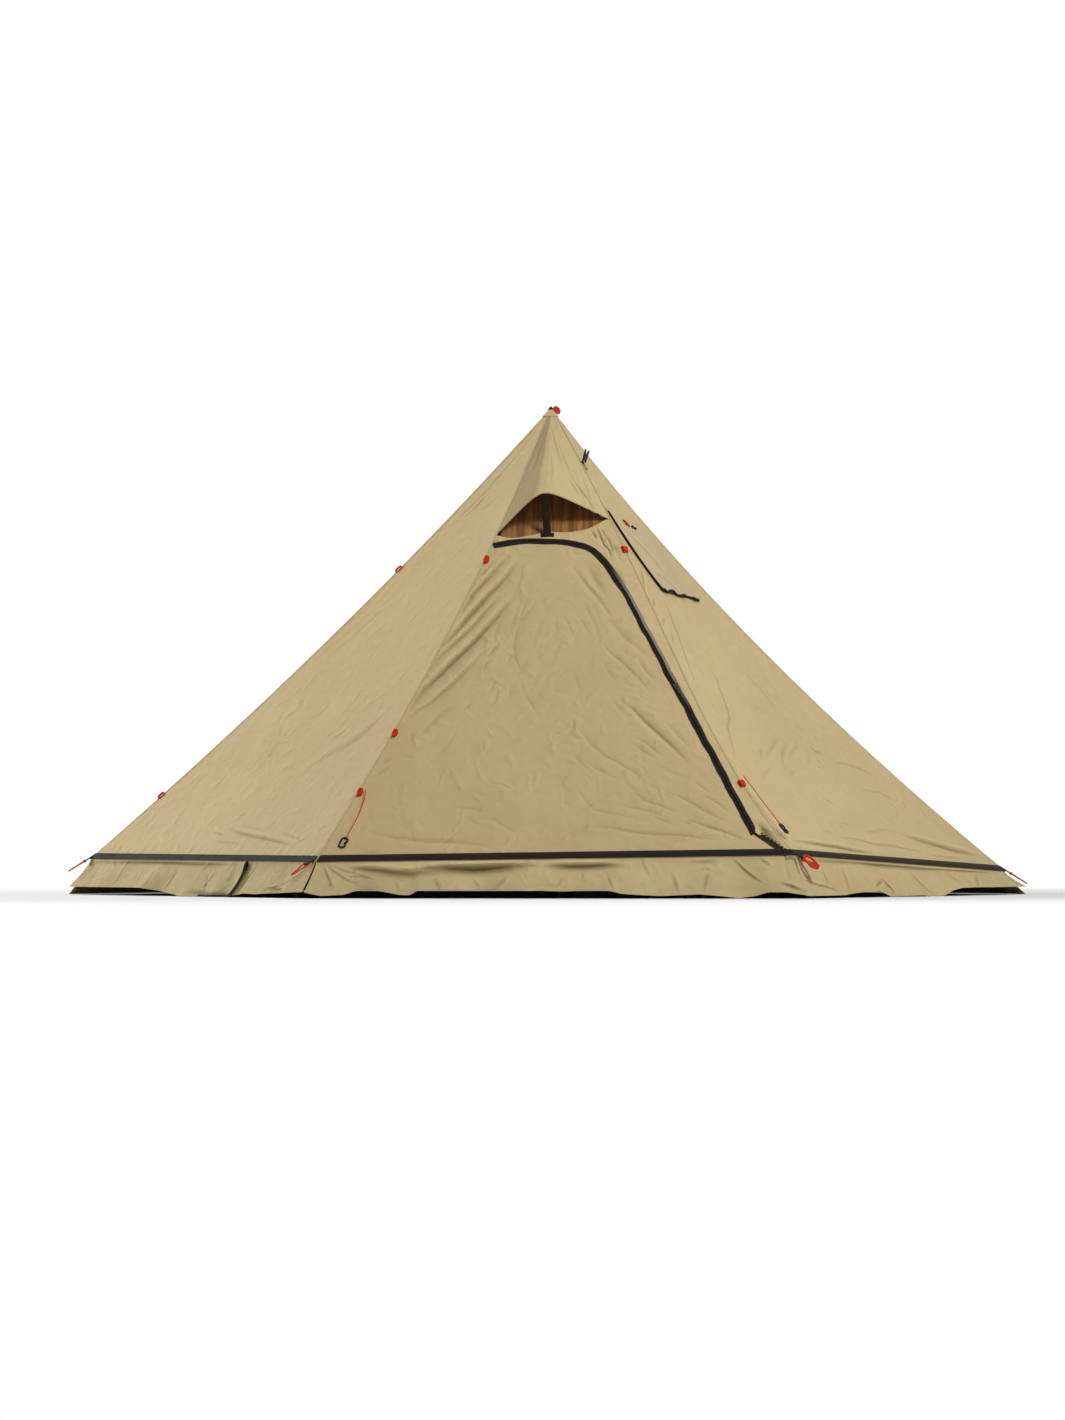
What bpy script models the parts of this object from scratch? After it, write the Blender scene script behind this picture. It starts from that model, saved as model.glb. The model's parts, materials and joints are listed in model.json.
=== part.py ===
"""Six-sided hot tent with one centre pole, a propped vent hood, a zipped door and a stove-pipe flap.

Units are metres. The origin is on the ground under the pole, Z is up and the door faces -Y.
Every piece of cloth is a thin closed solid of its true outline, mitred where two of them share a seam.
"""

import math

import bmesh
import bpy
from mathutils import Matrix, Vector

# Pitch of the tent
APEX_HEIGHT = 1.70
CORNER_RADIUS = 1.60
HEM_HEIGHT = 0.12
RIDGE_SAG = 0.05
PANEL_SAG = 0.012

# Cloth and seams
CLOTH = 0.0024
SEAM_GAP = 0.0006
TOUCH_GAP = 0.0004
LAP_GAP = 0.0008
HEM_BAND = 0.028
HEM_BAND_THICKNESS = 0.002
HEM_HINGE_GAP = 0.005
PANEL_ROWS = 9
PANEL_COLUMNS = 8
PANEL_TOP_SHARE = 0.011

# Each ridge: bearing in degrees, then corner distance, hem height and sag as shares of the sizes
# above, and the power that sets how low on the ridge its sag is deepest.
RIDGE_SHARES = {
    "left": (180.0, 1.006, 1.025, 1.0, 1),
    "front_left": (240.0, 0.966, 0.983, 1.0, 1),
    "front_right": (300.0, 0.994, 1.167, 1.04, 3),
    "right": (360.0, 0.991, 0.667, 1.84, 1),
    "back_right": (420.0, 1.0, 1.0, 1.2, 1),
    "back_left": (480.0, 1.0, 1.0, 1.2, 1),
}

# Each side lies between two ridges, the left one first as seen from outside.
SIDES = {
    "left_front": ("left", "front_left"),
    "front": ("front_left", "front_right"),
    "right_front": ("front_right", "right"),
    "right_back": ("right", "back_right"),
    "back": ("back_right", "back_left"),
    "left_back": ("back_left", "left"),
}

# Vent hood: where it ends on the two front ridges, and its pushed-out peak in the front face
HOOD_LEFT_SHARE = 0.290
HOOD_RIGHT_SHARE = 0.262
HOOD_PEAK_ACROSS = -0.040
HOOD_PEAK_SHARE = 0.7455
HOOD_PEAK_OUT = 0.12
HOOD_ROUNDING_SHARE = 0.2
HOOD_FLAT_SHARE = 0.14
HOOD_ROWS = 9
HOOD_COLUMNS = 16

# The window under the hood: its lower edge as shares of the half hem across and the face length up
WINDOW_EDGE_SHARES = (
    (-0.261, 0.7050), (-0.198, 0.6985), (-0.115, 0.704), (-0.038, 0.711),
    (0.057, 0.710), (0.144, 0.7187), (0.214, 0.7375),
)
WINDOW_TOP_SHARE = 0.868
MESH_THICKNESS = 0.0012
MESH_EDGE = 0.010
MESH_LAP = 0.009

# Zip: the top bend as shares of the half hem and the face length, then one straight run to its foot
ZIP_BEND_SHARES = (
    (-0.276, 0.6815), (-0.19, 0.6885), (-0.089, 0.6905), (0.0, 0.6885), (0.080, 0.6825),
    (0.145, 0.6705), (0.207, 0.6430), (0.259, 0.6045), (0.314, 0.5588),
)
ZIP_FOOT_SHARE = (0.835, 0.0448)
DOOR_HEM_SHARE = 0.962
ZIP_TAPE_WIDTH = 0.013
ZIP_TAPE_THICKNESS = 0.0014
ZIP_BEAD_WIDTH = 0.0042
ZIP_BEAD_HEIGHT = 0.0030
ZIP_MESHING_GAP = 0.0005
ZIP_CLOTH_SETBACK = 0.003
ZIP_BEND_STEPS = 18
ZIP_RUN_STEPS = 8

# Zip slider and its pull
SLIDER_PLACE_SHARE = 0.385
SLIDER_LENGTH = 0.024
SLIDER_WALL = 0.0016
SLIDER_SHOULDER = 0.0022
SLIDER_CLEARANCE = 0.0004
BAIL_SPAN = 0.012
BAIL_RISE = 0.0042
BAIL_WIRE = 0.0014
BAIL_WIDTH = 0.003
BAIL_SINK = 0.0006
PULL_LENGTH = 0.034
PULL_WIDTH = 0.0095
PULL_THICKNESS = 0.0016
PULL_BAR = 0.0018
PULL_SLOT_LENGTH = 0.0044
PULL_SLOT_WIDTH = 0.0046
PULL_BAR_OFFSET = 0.0022

# Prop strap that holds the hood out, and the patch that its foot stands on
PROP_WIDTH = 0.026
PROP_THICKNESS = 0.0024
PROP_BOW = 0.008
PROP_FOOT = 0.014
PROP_HEAD_DROP = 0.0080
PROP_PATCH_WIDTH = 0.046
PROP_PATCH_HEIGHT = 0.020
PROP_PATCH_THICKNESS = 0.0012
PROP_FOOT_ACROSS = -0.032
PROP_FOOT_SHARE = 0.7036

# Stove-pipe flap on the right front side: its corners as shares across and down that side
FLAP_CORNER_SHARES = {
    "top_left": (0.06, 0.232),
    "top_right": (0.89, 0.271),
    "bottom_left": (0.314, 0.411),
    "bottom_right": (0.765, 0.422),
}
FLAP_ROWS = 6
FLAP_COLUMNS = 6
FLAP_CROWN = 0.016
FLAP_THICKNESS = 0.0022
BINDING_WIDTH = 0.006
BINDING_THICKNESS = 0.0012
PATCH_INSET_SHARE = 0.10
PATCH_THICKNESS = 0.0018
WINDOW_CUT_RADIUS = 0.085
PIPE_HOLE_RADIUS = 0.052
HOLE_SIDES = 28
CUT_REACH = 0.06
FLAP_TAB_SHARES = (0.36, 0.07)
FLAP_TOGGLE_SHARES = (0.50, 0.13)
TOGGLE_LENGTH = 0.024
TOGGLE_RADIUS = 0.0045
TOGGLE_WAIST = 0.0028

# Hanging clip for the rolled flap, on the right front side near the top
CLIP_PLACE_SHARES = (0.18, 0.143)
CLIP_LENGTH = 0.046
CLIP_WIDTH = 0.034
CLIP_SPREAD = 0.044
CLIP_SLOT = 0.008
CLIP_WALL = 0.006
CLIP_BAR = 0.0028
CLIP_TAB_THICKNESS = 0.0086
CLIP_REST_DEGREES = 50.0

# Folded webbing tabs on the ridges
TAB_LENGTH = 0.030
TAB_WIDTH = 0.018
TAB_THICKNESS = 0.007
TAB_WEB = 0.0018
TAB_ARC_POINTS = 4
RIDGE_TAB_SHARES = {
    "ridge_tab_left_upper": ("left", 0.352),
    "ridge_tab_left_lower": ("left", 0.853),
    "ridge_tab_front_right_upper": ("front_right", 0.325),
    "ridge_tab_front_right_lower": ("front_right", 0.842),
    "ridge_tab_back_right_upper": ("back_right", 0.352),
    "ridge_tab_back_right_lower": ("back_right", 0.853),
    "ridge_tab_back_left_upper": ("back_left", 0.352),
    "ridge_tab_back_left_lower": ("back_left", 0.853),
}
DOOR_TAB_SHARES = {
    "door_tab_upper": 0.345,
    "door_tab_middle": 0.725,
    "door_tab_lower": 0.850,
}
DOOR_TAB_INSET = 0.006

# Hold-back cords with their wire hooks: the cords' own routes, in metres
CORD_RADIUS = 0.0015
HOOK_WIRE_RADIUS = 0.0016
HOOK_BOW_RADIUS = 0.0105
CORD_BEVEL_RESOLUTION = 2
LEFT_CORD_ROUTE = ((0.0, 0.0), (-0.006, -0.050), (-0.025, -0.115), (-0.060, -0.205))
RIGHT_CORD_ROUTE = ((0.0, 0.0), (-0.004, -0.050), (-0.017, -0.120), (-0.038, -0.226))
CORD_POINTS = 22

# Elastic loops at the six corners and the webbing eyes that hold them
STRAP_LENGTH = 0.030
STRAP_WIDTH = 0.024
STRAP_THICKNESS = 0.0032
STRAP_DROOP_DEGREES = 32.0
EYE_RADIUS = 0.0055
EYE_HOLE_RADIUS = 0.0029
EYE_SIDES = 12
ELASTIC_RADIUS = 0.0021
ELASTIC_LENGTH = 0.066
ELASTIC_POINTS = 30

# Snow skirts between the hem and the ground
SKIRT_FLARE = 0.070
SKIRT_RIPPLE = 0.015
SKIRT_LIFT = 0.016
SKIRT_WAVE = 0.26
SKIRT_ROWS = 3
SKIRT_STEP = 0.052
SKIRT_THICKNESS = 0.0024
SKIRT_END_GAP = 0.004
SKIRT_SPLIT_SHARE = 0.71
SKIRT_SPLIT_GAP = 0.004
SKIRT_CALM = 0.16
SKIRT_MEET_SHARE = 0.88
SKIRT_ROUND = 0.045
SKIRT_CURVE_SHARE = 1.2
SKIRT_PHASE_SHARES = {
    "left_front": 0.15, "front": 0.55, "right_front": 0.35,
    "right_back": 0.75, "back": 0.05, "left_back": 0.45,
}

# Centre pole
POLE_RADIUS = 0.0125
POLE_WALL = 0.0012
SPIGOT_CLEARANCE = 0.0003
SPIGOT_LENGTH = 0.050
SPIGOT_ROOT = 0.020
POLE_SIDES = 16
FOOT_RADIUS = 0.024
FOOT_RIM = 0.006
FOOT_HEIGHT = 0.022
FOOT_PLUG = 0.018
TIP_PIN_RADIUS = 0.006
TIP_COLLAR = 0.004
TIP_PLUG = 0.020
TIP_TOP_RADIUS = 0.003
TIP_SHOULDER_DROP = 0.045

# Reinforcing cap and loop at the apex
CAP_SHARE = 0.020
CAP_THICKNESS = 0.0016
TIP_CAP_SHARE = 0.0055
TIP_CAP_THICKNESS = 0.0014
APEX_LOOP_RADIUS = 0.003
APEX_LOOP_HEIGHT = 0.017
APEX_LOOP_LENGTH = 0.026
APEX_LOOP_POINTS = 14


def clear_scene():
    for item in list(bpy.data.objects):
        bpy.data.objects.remove(item, do_unlink=True)


def make_material(name, colour, roughness, metallic=0.0):
    """A Principled material; the colour is linear."""
    material = bpy.data.materials.new(name)
    material.use_nodes = True
    shader = material.node_tree.nodes["Principled BSDF"]
    shader.inputs["Base Color"].default_value = (*colour, 1.0)
    shader.inputs["Roughness"].default_value = roughness
    shader.inputs["Metallic"].default_value = metallic
    material.diffuse_color = (*colour, 1.0)
    return material


def make_materials():
    return {
        "canvas": make_material("tan_polyester", (0.50, 0.40, 0.21), 0.62),
        "skirt": make_material("tan_skirt_polyester", (0.45, 0.37, 0.20), 0.66),
        "flap": make_material("tan_flap_cloth", (0.52, 0.41, 0.25), 0.68),
        "webbing": make_material("black_webbing", (0.035, 0.028, 0.022), 0.70),
        "tape": make_material("black_zip_tape", (0.030, 0.026, 0.022), 0.60),
        "mesh": make_material("brown_mesh", (0.10, 0.055, 0.022), 0.85),
        "red": make_material("red_webbing", (0.42, 0.055, 0.03), 0.60),
        "plastic": make_material("black_plastic", (0.02, 0.02, 0.02), 0.38),
        "patch": make_material("grey_heat_cloth", (0.30, 0.28, 0.24), 0.75),
        "zinc": make_material("zinc_slider", (0.10, 0.09, 0.08), 0.40, 0.9),
        "aluminium": make_material("anodised_aluminium", (0.55, 0.56, 0.57), 0.32, 1.0),
        "rubber": make_material("black_rubber", (0.02, 0.02, 0.02), 0.80),
    }


def add_mesh(name, points, faces, material, smooth=True):
    """A closed mesh object whose faces are turned outward."""
    mesh = bpy.data.meshes.new(name)
    mesh.from_pydata([tuple(point) for point in points], [], faces)
    work = bmesh.new()
    work.from_mesh(mesh)
    bmesh.ops.recalc_face_normals(work, faces=work.faces)
    if work.calc_volume(signed=True) < 0:
        bmesh.ops.reverse_faces(work, faces=work.faces)
    work.to_mesh(mesh)
    work.free()
    mesh.materials.append(material)
    if smooth:
        mesh.shade_smooth()
        mesh.set_sharp_from_angle(angle=math.radians(35.0))
    item = bpy.data.objects.new(name, mesh)
    bpy.context.scene.collection.objects.link(item)
    return item


def sheet_solid(name, outer, inner, material):
    """The closed solid between two grids of points with the same rows and columns."""
    rows, columns = len(outer), len(outer[0])
    points = [point for row in outer for point in row] + [point for row in inner for point in row]
    back = rows * columns

    def at(row, column):
        return row * columns + column

    faces = []
    for row in range(rows - 1):
        for column in range(columns - 1):
            near = (at(row, column), at(row + 1, column), at(row + 1, column + 1))
            far = (at(row, column), at(row + 1, column + 1), at(row, column + 1))
            # Both walls are split along the same diagonal, so that they never cross where the sheet twists.
            for corners in (near, far):
                faces.append(corners)
                faces.append(tuple(back + corner for corner in reversed(corners)))
    border = [at(0, column) for column in range(columns)]
    border += [at(row, columns - 1) for row in range(1, rows)]
    border += [at(rows - 1, column) for column in range(columns - 2, -1, -1)]
    border += [at(row, 0) for row in range(rows - 2, 0, -1)]
    for here, there in zip(border, border[1:] + border[:1]):
        faces.append((here, there, back + there, back + here))
    return add_mesh(name, points, faces, material)


def swept_solid(name, stations, profiles, material, closed=False):
    """A profile carried along stations of (origin, side, up); one profile, or one for each station."""
    if not isinstance(profiles[0][0], (tuple, list)):
        profiles = [profiles] * len(stations)
    count = len(profiles[0])
    points = []
    for (origin, side, up), profile in zip(stations, profiles):
        points += [origin + side * x + up * y for x, y in profile]
    faces = []
    rings = len(stations)
    for ring in range(rings if closed else rings - 1):
        here, there = ring * count, (ring + 1) % rings * count
        for step in range(count):
            after = (step + 1) % count
            faces.append((here + step, here + after, there + after, there + step))
    if not closed:
        faces.append(tuple(range(count)))
        faces.append(tuple(range((rings - 1) * count, rings * count)))
    return add_mesh(name, points, faces, material)


def ring_prism(name, outer, inner, frame, depth, material):
    """A flat ring between two outlines of as many points, thickened by depth along the frame's X."""
    origin, along, out, across = frame
    points = []
    for half in (-depth / 2, depth / 2):
        for outline in (outer, inner):
            points += [origin + along * half + out * y + across * z for y, z in outline]
    count = len(outer)
    faces = []
    for step in range(count):
        after = (step + 1) % count
        a, b, c, d = step, count + step, 2 * count + step, 3 * count + step
        a2, b2, c2, d2 = after, count + after, 2 * count + after, 3 * count + after
        faces += [(a, a2, b2, b), (c, d, d2, c2), (a, c, c2, a2), (b, b2, d2, d)]
    return add_mesh(name, points, faces, material)


def turned_solid(name, profile, sides, material):
    """A profile of (radius, height) points turned about Z, closed on itself or on the axis at radius 0."""
    points, rings = [], []
    for radius, height in profile:
        if radius == 0:
            rings.append([len(points)])
            points.append(Vector((0, 0, height)))
            continue
        rings.append(list(range(len(points), len(points) + sides)))
        for step in range(sides):
            turn = 2 * math.pi * step / sides
            points.append(Vector((radius * math.cos(turn), radius * math.sin(turn), height)))
    pairs = list(zip(rings, rings[1:]))
    if len(rings[0]) > 1:
        pairs.append((rings[-1], rings[0]))
    faces = []
    for here, there in pairs:
        for step in range(sides):
            after = (step + 1) % sides
            corners = [here[step % len(here)], here[after % len(here)]]
            corners += [there[after % len(there)], there[step % len(there)]]
            face = tuple(dict.fromkeys(corners))
            if len(face) > 2:
                faces.append(face)
    return add_mesh(name, points, faces, material)


def smooth_route(points, count, closed=False):
    """Evenly spaced points on the Catmull-Rom curve through the given ones."""
    points = [Vector(point) for point in points]
    last = len(points)
    fine = []
    spans = last if closed else last - 1
    steps = 24
    for span in range(spans):
        if closed:
            p0, p1, p2, p3 = (points[(span + shift) % last] for shift in (-1, 0, 1, 2))
        else:
            p1, p2 = points[span], points[span + 1]
            p0 = points[span - 1] if span else p1 * 2 - p2
            p3 = points[span + 2] if span + 2 < last else p2 * 2 - p1
        for step in range(steps):
            t = step / steps
            fine.append(0.5 * (
                2 * p1 + (p2 - p0) * t + (2 * p0 - 5 * p1 + 4 * p2 - p3) * t ** 2
                + (3 * p1 - p0 - 3 * p2 + p3) * t ** 3
            ))
    fine.append(fine[0].copy() if closed else points[-1])
    return even_points(fine, count, closed)


def even_points(fine, count, closed=False):
    """Points at equal distances along a polyline, with both ends, or without the repeat if it is closed."""
    reach = [0.0]
    for here, there in zip(fine, fine[1:]):
        reach.append(reach[-1] + (there - here).length)
    wanted = count if closed else count - 1
    result, index = [], 0
    for step in range(count):
        target = reach[-1] * step / wanted
        while index < len(fine) - 2 and reach[index + 1] < target:
            index += 1
        span = reach[index + 1] - reach[index]
        share = (target - reach[index]) / span if span else 0.0
        result.append(fine[index].lerp(fine[index + 1], min(share, 1.0)))
    return result


def even_flat(route, count):
    """Points at equal distances along a flat route."""
    return [point.xy for point in even_points([Vector((point.x, point.y, 0)) for point in route], count)]


def add_tube(name, points, radius, material, closed=False):
    """A round tube as a curve with a bevel and filled caps."""
    curve = bpy.data.curves.new(name, "CURVE")
    curve.dimensions = "3D"
    curve.bevel_depth = radius
    curve.bevel_resolution = CORD_BEVEL_RESOLUTION
    curve.use_fill_caps = True
    spline = curve.splines.new("POLY")
    spline.points.add(len(points) - 1)
    for place, point in zip(spline.points, points):
        place.co = (*point, 1.0)
    spline.use_cyclic_u = closed
    curve.materials.append(material)
    item = bpy.data.objects.new(name, curve)
    bpy.context.scene.collection.objects.link(item)
    return item


def hold(item, holder):
    """Parents an object to an empty that stands on its joint, without moving it."""
    item.parent = holder
    item.matrix_parent_inverse = holder.matrix_basis.inverted()


def add_holder(name, frame):
    holder = bpy.data.objects.new(name, None)
    bpy.context.scene.collection.objects.link(holder)
    holder.matrix_basis = frame
    holder.empty_display_size = TAB_LENGTH
    return holder


def frame_matrix(origin, x_axis, y_axis, z_axis):
    matrix = Matrix((x_axis, y_axis, z_axis)).transposed().to_4x4()
    matrix.translation = origin
    return matrix


def helper(item):
    """Marks a cutter, which shapes another object and isn't a piece itself."""
    item.hide_render = True
    item.display_type = "WIRE"
    item.hide_viewport = False
    return item


def boolean(item, other, operation):
    modifier = item.modifiers.new(operation.lower(), "BOOLEAN")
    modifier.operation = operation
    modifier.object = helper(other)
    modifier.solver = "EXACT"


def between(low, high, share):
    return low + (high - low) * share


# The tent's surface


def corner(ridge):
    bearing, distance, height, _, _ = RIDGE_SHARES[ridge]
    turn = math.radians(bearing)
    return Vector((
        CORNER_RADIUS * distance * math.cos(turn),
        CORNER_RADIUS * distance * math.sin(turn),
        HEM_HEIGHT * height,
    ))


APEX = Vector((0, 0, APEX_HEIGHT))


def sag_share(share, power):
    """How far a ridge hangs in at a share of its length, 1 where it hangs in the most."""
    deepest = power / (power + 1)
    return share ** power * (1 - share) / (deepest ** power * (1 - deepest))


def true_ridge(ridge, share):
    """A point of the ridge as sewn: the two front ones are drawn in across the front face."""
    _, _, _, sag, power = RIDGE_SHARES[ridge]
    foot = corner(ridge)
    if ridge == "front_left":
        inward = (corner("front_right") - foot).normalized()
    elif ridge == "front_right":
        inward = (corner("front_left") - foot).normalized()
    else:
        inward = Vector((-foot.x, -foot.y, 0)).normalized()
    return APEX.lerp(foot, share) + inward * (RIDGE_SAG * sag * sag_share(share, power))


def row_shares():
    """The rows of every side panel, with the last one as deep as the hem band."""
    hem_row = 1 - HEM_BAND / (corner("back_left") - APEX).length
    rows = [between(PANEL_TOP_SHARE, hem_row, row / PANEL_ROWS) for row in range(PANEL_ROWS + 1)]
    return rows + [1.0]


ROWS = [0.0] + row_shares()


def ridge_point(ridge, share):
    """A point on the ridge as its panels follow it, straight from row to row."""
    for low, high in zip(ROWS, ROWS[1:]):
        if share <= high or high == ROWS[-1]:
            inside = (share - low) / (high - low)
            return true_ridge(ridge, low).lerp(true_ridge(ridge, high), inside)
    return true_ridge(ridge, share)


def side_normal(side):
    left, right = SIDES[side]
    return (corner(right) - corner(left)).cross(APEX - corner(left)).normalized()


def mitre(ridge):
    """The outward vector at a ridge that thickens both of its panels alike."""
    first, second = (side_normal(side) for side, ends in SIDES.items() if ridge in ends)
    return (first + second) / (1 + first.dot(second))


def side_point(side, across, share, out=0.0):
    """A point on a side: across from its left ridge to its right one, share down from the apex."""
    left, right = SIDES[side]
    normal = side_normal(side)
    facing = normal + (mitre(left) - normal) * (1 - across) + (mitre(right) - normal) * across
    point = ridge_point(left, share).lerp(ridge_point(right, share), across)
    if side != "front":
        cell = min(int(across * PANEL_COLUMNS), PANEL_COLUMNS - 1)
        low, high = cell / PANEL_COLUMNS, (cell + 1) / PANEL_COLUMNS
        belly = between(low * (1 - low), high * (1 - high), (across - low) * PANEL_COLUMNS)
        point -= normal * (PANEL_SAG * 4 * belly * math.sin(math.pi * share))
    return point + facing * out


def side_width(side, share):
    left, right = SIDES[side]
    return (ridge_point(right, share) - ridge_point(left, share)).length


# The front face is flat, so the door, the zip and the window are drawn in it: across from the middle
# of the hem, up from the hem, and out from the cloth.

FRONT_ACROSS = (corner("front_right") - corner("front_left")).normalized()
FRONT_OUT = side_normal("front")
FRONT_UP = FRONT_OUT.cross(FRONT_ACROSS)
FRONT_ORIGIN = (corner("front_left") + corner("front_right")) / 2
HALF_HEM = (corner("front_right") - corner("front_left")).length / 2
FACE_LENGTH = (APEX - FRONT_ORIGIN).dot(FRONT_UP)


def front_point(across, up, out=0.0):
    return FRONT_ORIGIN + FRONT_ACROSS * across + FRONT_UP * up + FRONT_OUT * out


def front_shares(shares):
    return [Vector((across * HALF_HEM, up * FACE_LENGTH)) for across, up in shares]


def front_flat(point):
    """A point of the front face, as across and up."""
    rest = point - FRONT_ORIGIN
    return Vector((rest.dot(FRONT_ACROSS), rest.dot(FRONT_UP)))


def shift_aside(route, distance):
    """A flat route moved to its left by a distance, or to its right by a negative one."""
    moved = []
    for index, point in enumerate(route):
        before, after = route[max(index - 1, 0)], route[min(index + 1, len(route) - 1)]
        run = (after - before).normalized()
        moved.append(point + Vector((-run.y, run.x)) * distance)
    return moved


def zip_bend():
    flat = [Vector((point.x, point.y, 0)) for point in front_shares(ZIP_BEND_SHARES)]
    return [point.xy for point in smooth_route(flat, ZIP_BEND_STEPS + 1)]


def zip_foot():
    return front_shares([ZIP_FOOT_SHARE])[0]


def zip_route():
    """The zip's middle line: the bend over the door, then the straight run down to its foot."""
    bend, foot = zip_bend(), zip_foot()
    return bend + [bend[-1].lerp(foot, (step + 1) / ZIP_RUN_STEPS) for step in range(ZIP_RUN_STEPS)]


def door_edge(setback):
    """The line between the door and its surround, set back to one side: the zip, then on to the hem."""
    hem_foot = Vector((DOOR_HEM_SHARE * HALF_HEM, 0))
    route = shift_aside(zip_route() + [hem_foot], setback)
    route[-1] = hem_foot + Vector((math.copysign(abs(setback) * 1.3, setback), 0))
    return route


def build_panel(side, name, material):
    outer, inner = [], []
    for share in row_shares():
        edge = SEAM_GAP / 2 / side_width(side, share)
        spots = [between(edge, 1 - edge, column / PANEL_COLUMNS) for column in range(PANEL_COLUMNS + 1)]
        outer.append([side_point(side, spot, share) for spot in spots])
        inner.append([side_point(side, spot, share, -CLOTH) for spot in spots])
    return sheet_solid(name, outer, inner, material)


def hood_peak():
    return front_point(HOOD_PEAK_ACROSS, HOOD_PEAK_SHARE * FACE_LENGTH, HOOD_PEAK_OUT)


def hood_point(across, share, depth=0.0):
    """A point of the hood: across between the front ridges, share from its top to its free edge."""
    left_share = between(PANEL_TOP_SHARE, HOOD_LEFT_SHARE, share)
    right_share = between(PANEL_TOP_SHARE, HOOD_RIGHT_SHARE, share)
    left, right = ridge_point("front_left", left_share), ridge_point("front_right", right_share)
    edge = SEAM_GAP / 2 / (right - left).length
    spot = between(edge, 1 - edge, across)
    top = ridge_point("front_left", PANEL_TOP_SHARE).lerp(ridge_point("front_right", PANEL_TOP_SHARE), 0.5)
    flat_peak = hood_peak() - FRONT_OUT * HOOD_PEAK_OUT
    lift = max(share - HOOD_FLAT_SHARE, 0.0) / (1 - HOOD_FLAT_SHARE)
    fold = top.lerp(flat_peak, share) + FRONT_OUT * (HOOD_PEAK_OUT * lift)
    x = 2 * spot - 1
    round_off = HOOD_ROUNDING_SHARE
    crown = (math.hypot(1, round_off) - math.hypot(x, round_off)) / (math.hypot(1, round_off) - round_off)
    point = left.lerp(right, spot) + (fold - left.lerp(right, 0.5)) * crown
    if not depth:
        return point
    facing = mitre("front_left").lerp(mitre("front_right"), spot)
    rise = (fold - left.lerp(right, 0.5)).length / ((right - left).length / 2)
    lean = min(math.hypot(1, rise), 2.0)
    return point - facing * depth * between(1.0, lean, 1 - abs(x))


def build_hood(material):
    def grid(depth):
        return [
            [hood_point(column / HOOD_COLUMNS, row / HOOD_ROWS, depth)
             for column in range(HOOD_COLUMNS + 1)]
            for row in range(HOOD_ROWS + 1)
        ]

    return sheet_solid("vent_hood", grid(0.0), grid(CLOTH), material)


def window_edge(count):
    flat = [Vector((point.x, point.y, 0)) for point in front_shares(WINDOW_EDGE_SHARES)]
    return [point.xy for point in smooth_route(flat, count)]


def ridge_nodes(ridge, low_share, high_share):
    """The front face's edge along a ridge between two shares, set in by half a seam, with all its bends."""
    inset = SEAM_GAP if ridge == "front_left" else -SEAM_GAP
    shares = [low_share] + [share for share in ROWS if low_share < share < high_share] + [high_share]
    return [front_flat(ridge_point(ridge, share)) + Vector((inset, 0)) for share in shares]


def ridge_lean(ridge):
    """How far the back of a front panel moves across for each unit of depth, where it is mitred."""
    return (mitre(ridge) - FRONT_OUT).dot(FRONT_ACROSS)


def flat_solid(name, outline, front, back, material):
    """A flat piece of the front face: its outline as (across and up, lean) between two depths."""
    points, faces = [], []
    for out in (front, back):
        points += [front_point(flat.x + lean * (out - front), flat.y, out) for flat, lean in outline]
    count = len(outline)
    faces.append(tuple(range(count)))
    faces.append(tuple(range(2 * count - 1, count - 1, -1)))
    for step in range(count):
        after = (step + 1) % count
        faces.append((step, after, count + after, count + step))
    return add_mesh(name, points, faces, material)


def build_surround(material):
    """The fixed cloth round the door: a crescent under the window and a strip down the right ridge."""
    inner, edge = door_edge(ZIP_CLOTH_SETBACK), window_edge(ZIP_BEND_STEPS // 2)
    for line in (inner, edge):
        line[0] = ridge_nodes("front_left", 1 - line[0].y / FACE_LENGTH, 1.0)[0]
    ridge = ridge_nodes("front_right", 1 - WINDOW_EDGE_SHARES[-1][1], 1.0)
    leans = [ridge_lean("front_left")] + [0.0] * (len(inner) - 1)
    outline = list(zip(inner, leans))
    outline += [(flat, ridge_lean("front_right")) for flat in reversed(ridge)]
    outline += list(zip(reversed(edge), reversed([ridge_lean("front_left")] + [0.0] * (len(edge) - 1))))
    return flat_solid("front_surround", outline, 0.0, -CLOTH, material)


def build_door(material):
    edge = door_edge(-ZIP_CLOTH_SETBACK)
    hinge = ridge_nodes("front_left", 1 - edge[0].y / FACE_LENGTH, 1.0)
    outline = [(flat, 0.0) for flat in edge[1:]]
    outline += [(flat, ridge_lean("front_left")) for flat in reversed(hinge)]
    return flat_solid("door_panel", outline, 0.0, -CLOTH, material)


def build_mesh_window(material):
    """The net behind the hood: lapped under the surround and set in from both ridges."""
    edge = window_edge(ZIP_BEND_STEPS // 2)
    outline = [flat - Vector((0, MESH_LAP)) for flat in edge[1:]]
    left_foot = front_flat(ridge_point("front_left", HOOD_LEFT_SHARE))
    outline.insert(0, Vector((left_foot.x + MESH_EDGE, edge[1].y)))
    top_share = 1 - WINDOW_TOP_SHARE
    outline.append(front_flat(ridge_point("front_right", top_share)) - Vector((MESH_EDGE, 0)))
    outline.append(front_flat(ridge_point("front_left", top_share)) + Vector((MESH_EDGE, 0)))
    front = -CLOTH - TOUCH_GAP
    outline = [(flat, 0.0) for flat in outline]
    return flat_solid("vent_mesh", outline, front, front - MESH_THICKNESS, material)


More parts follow.
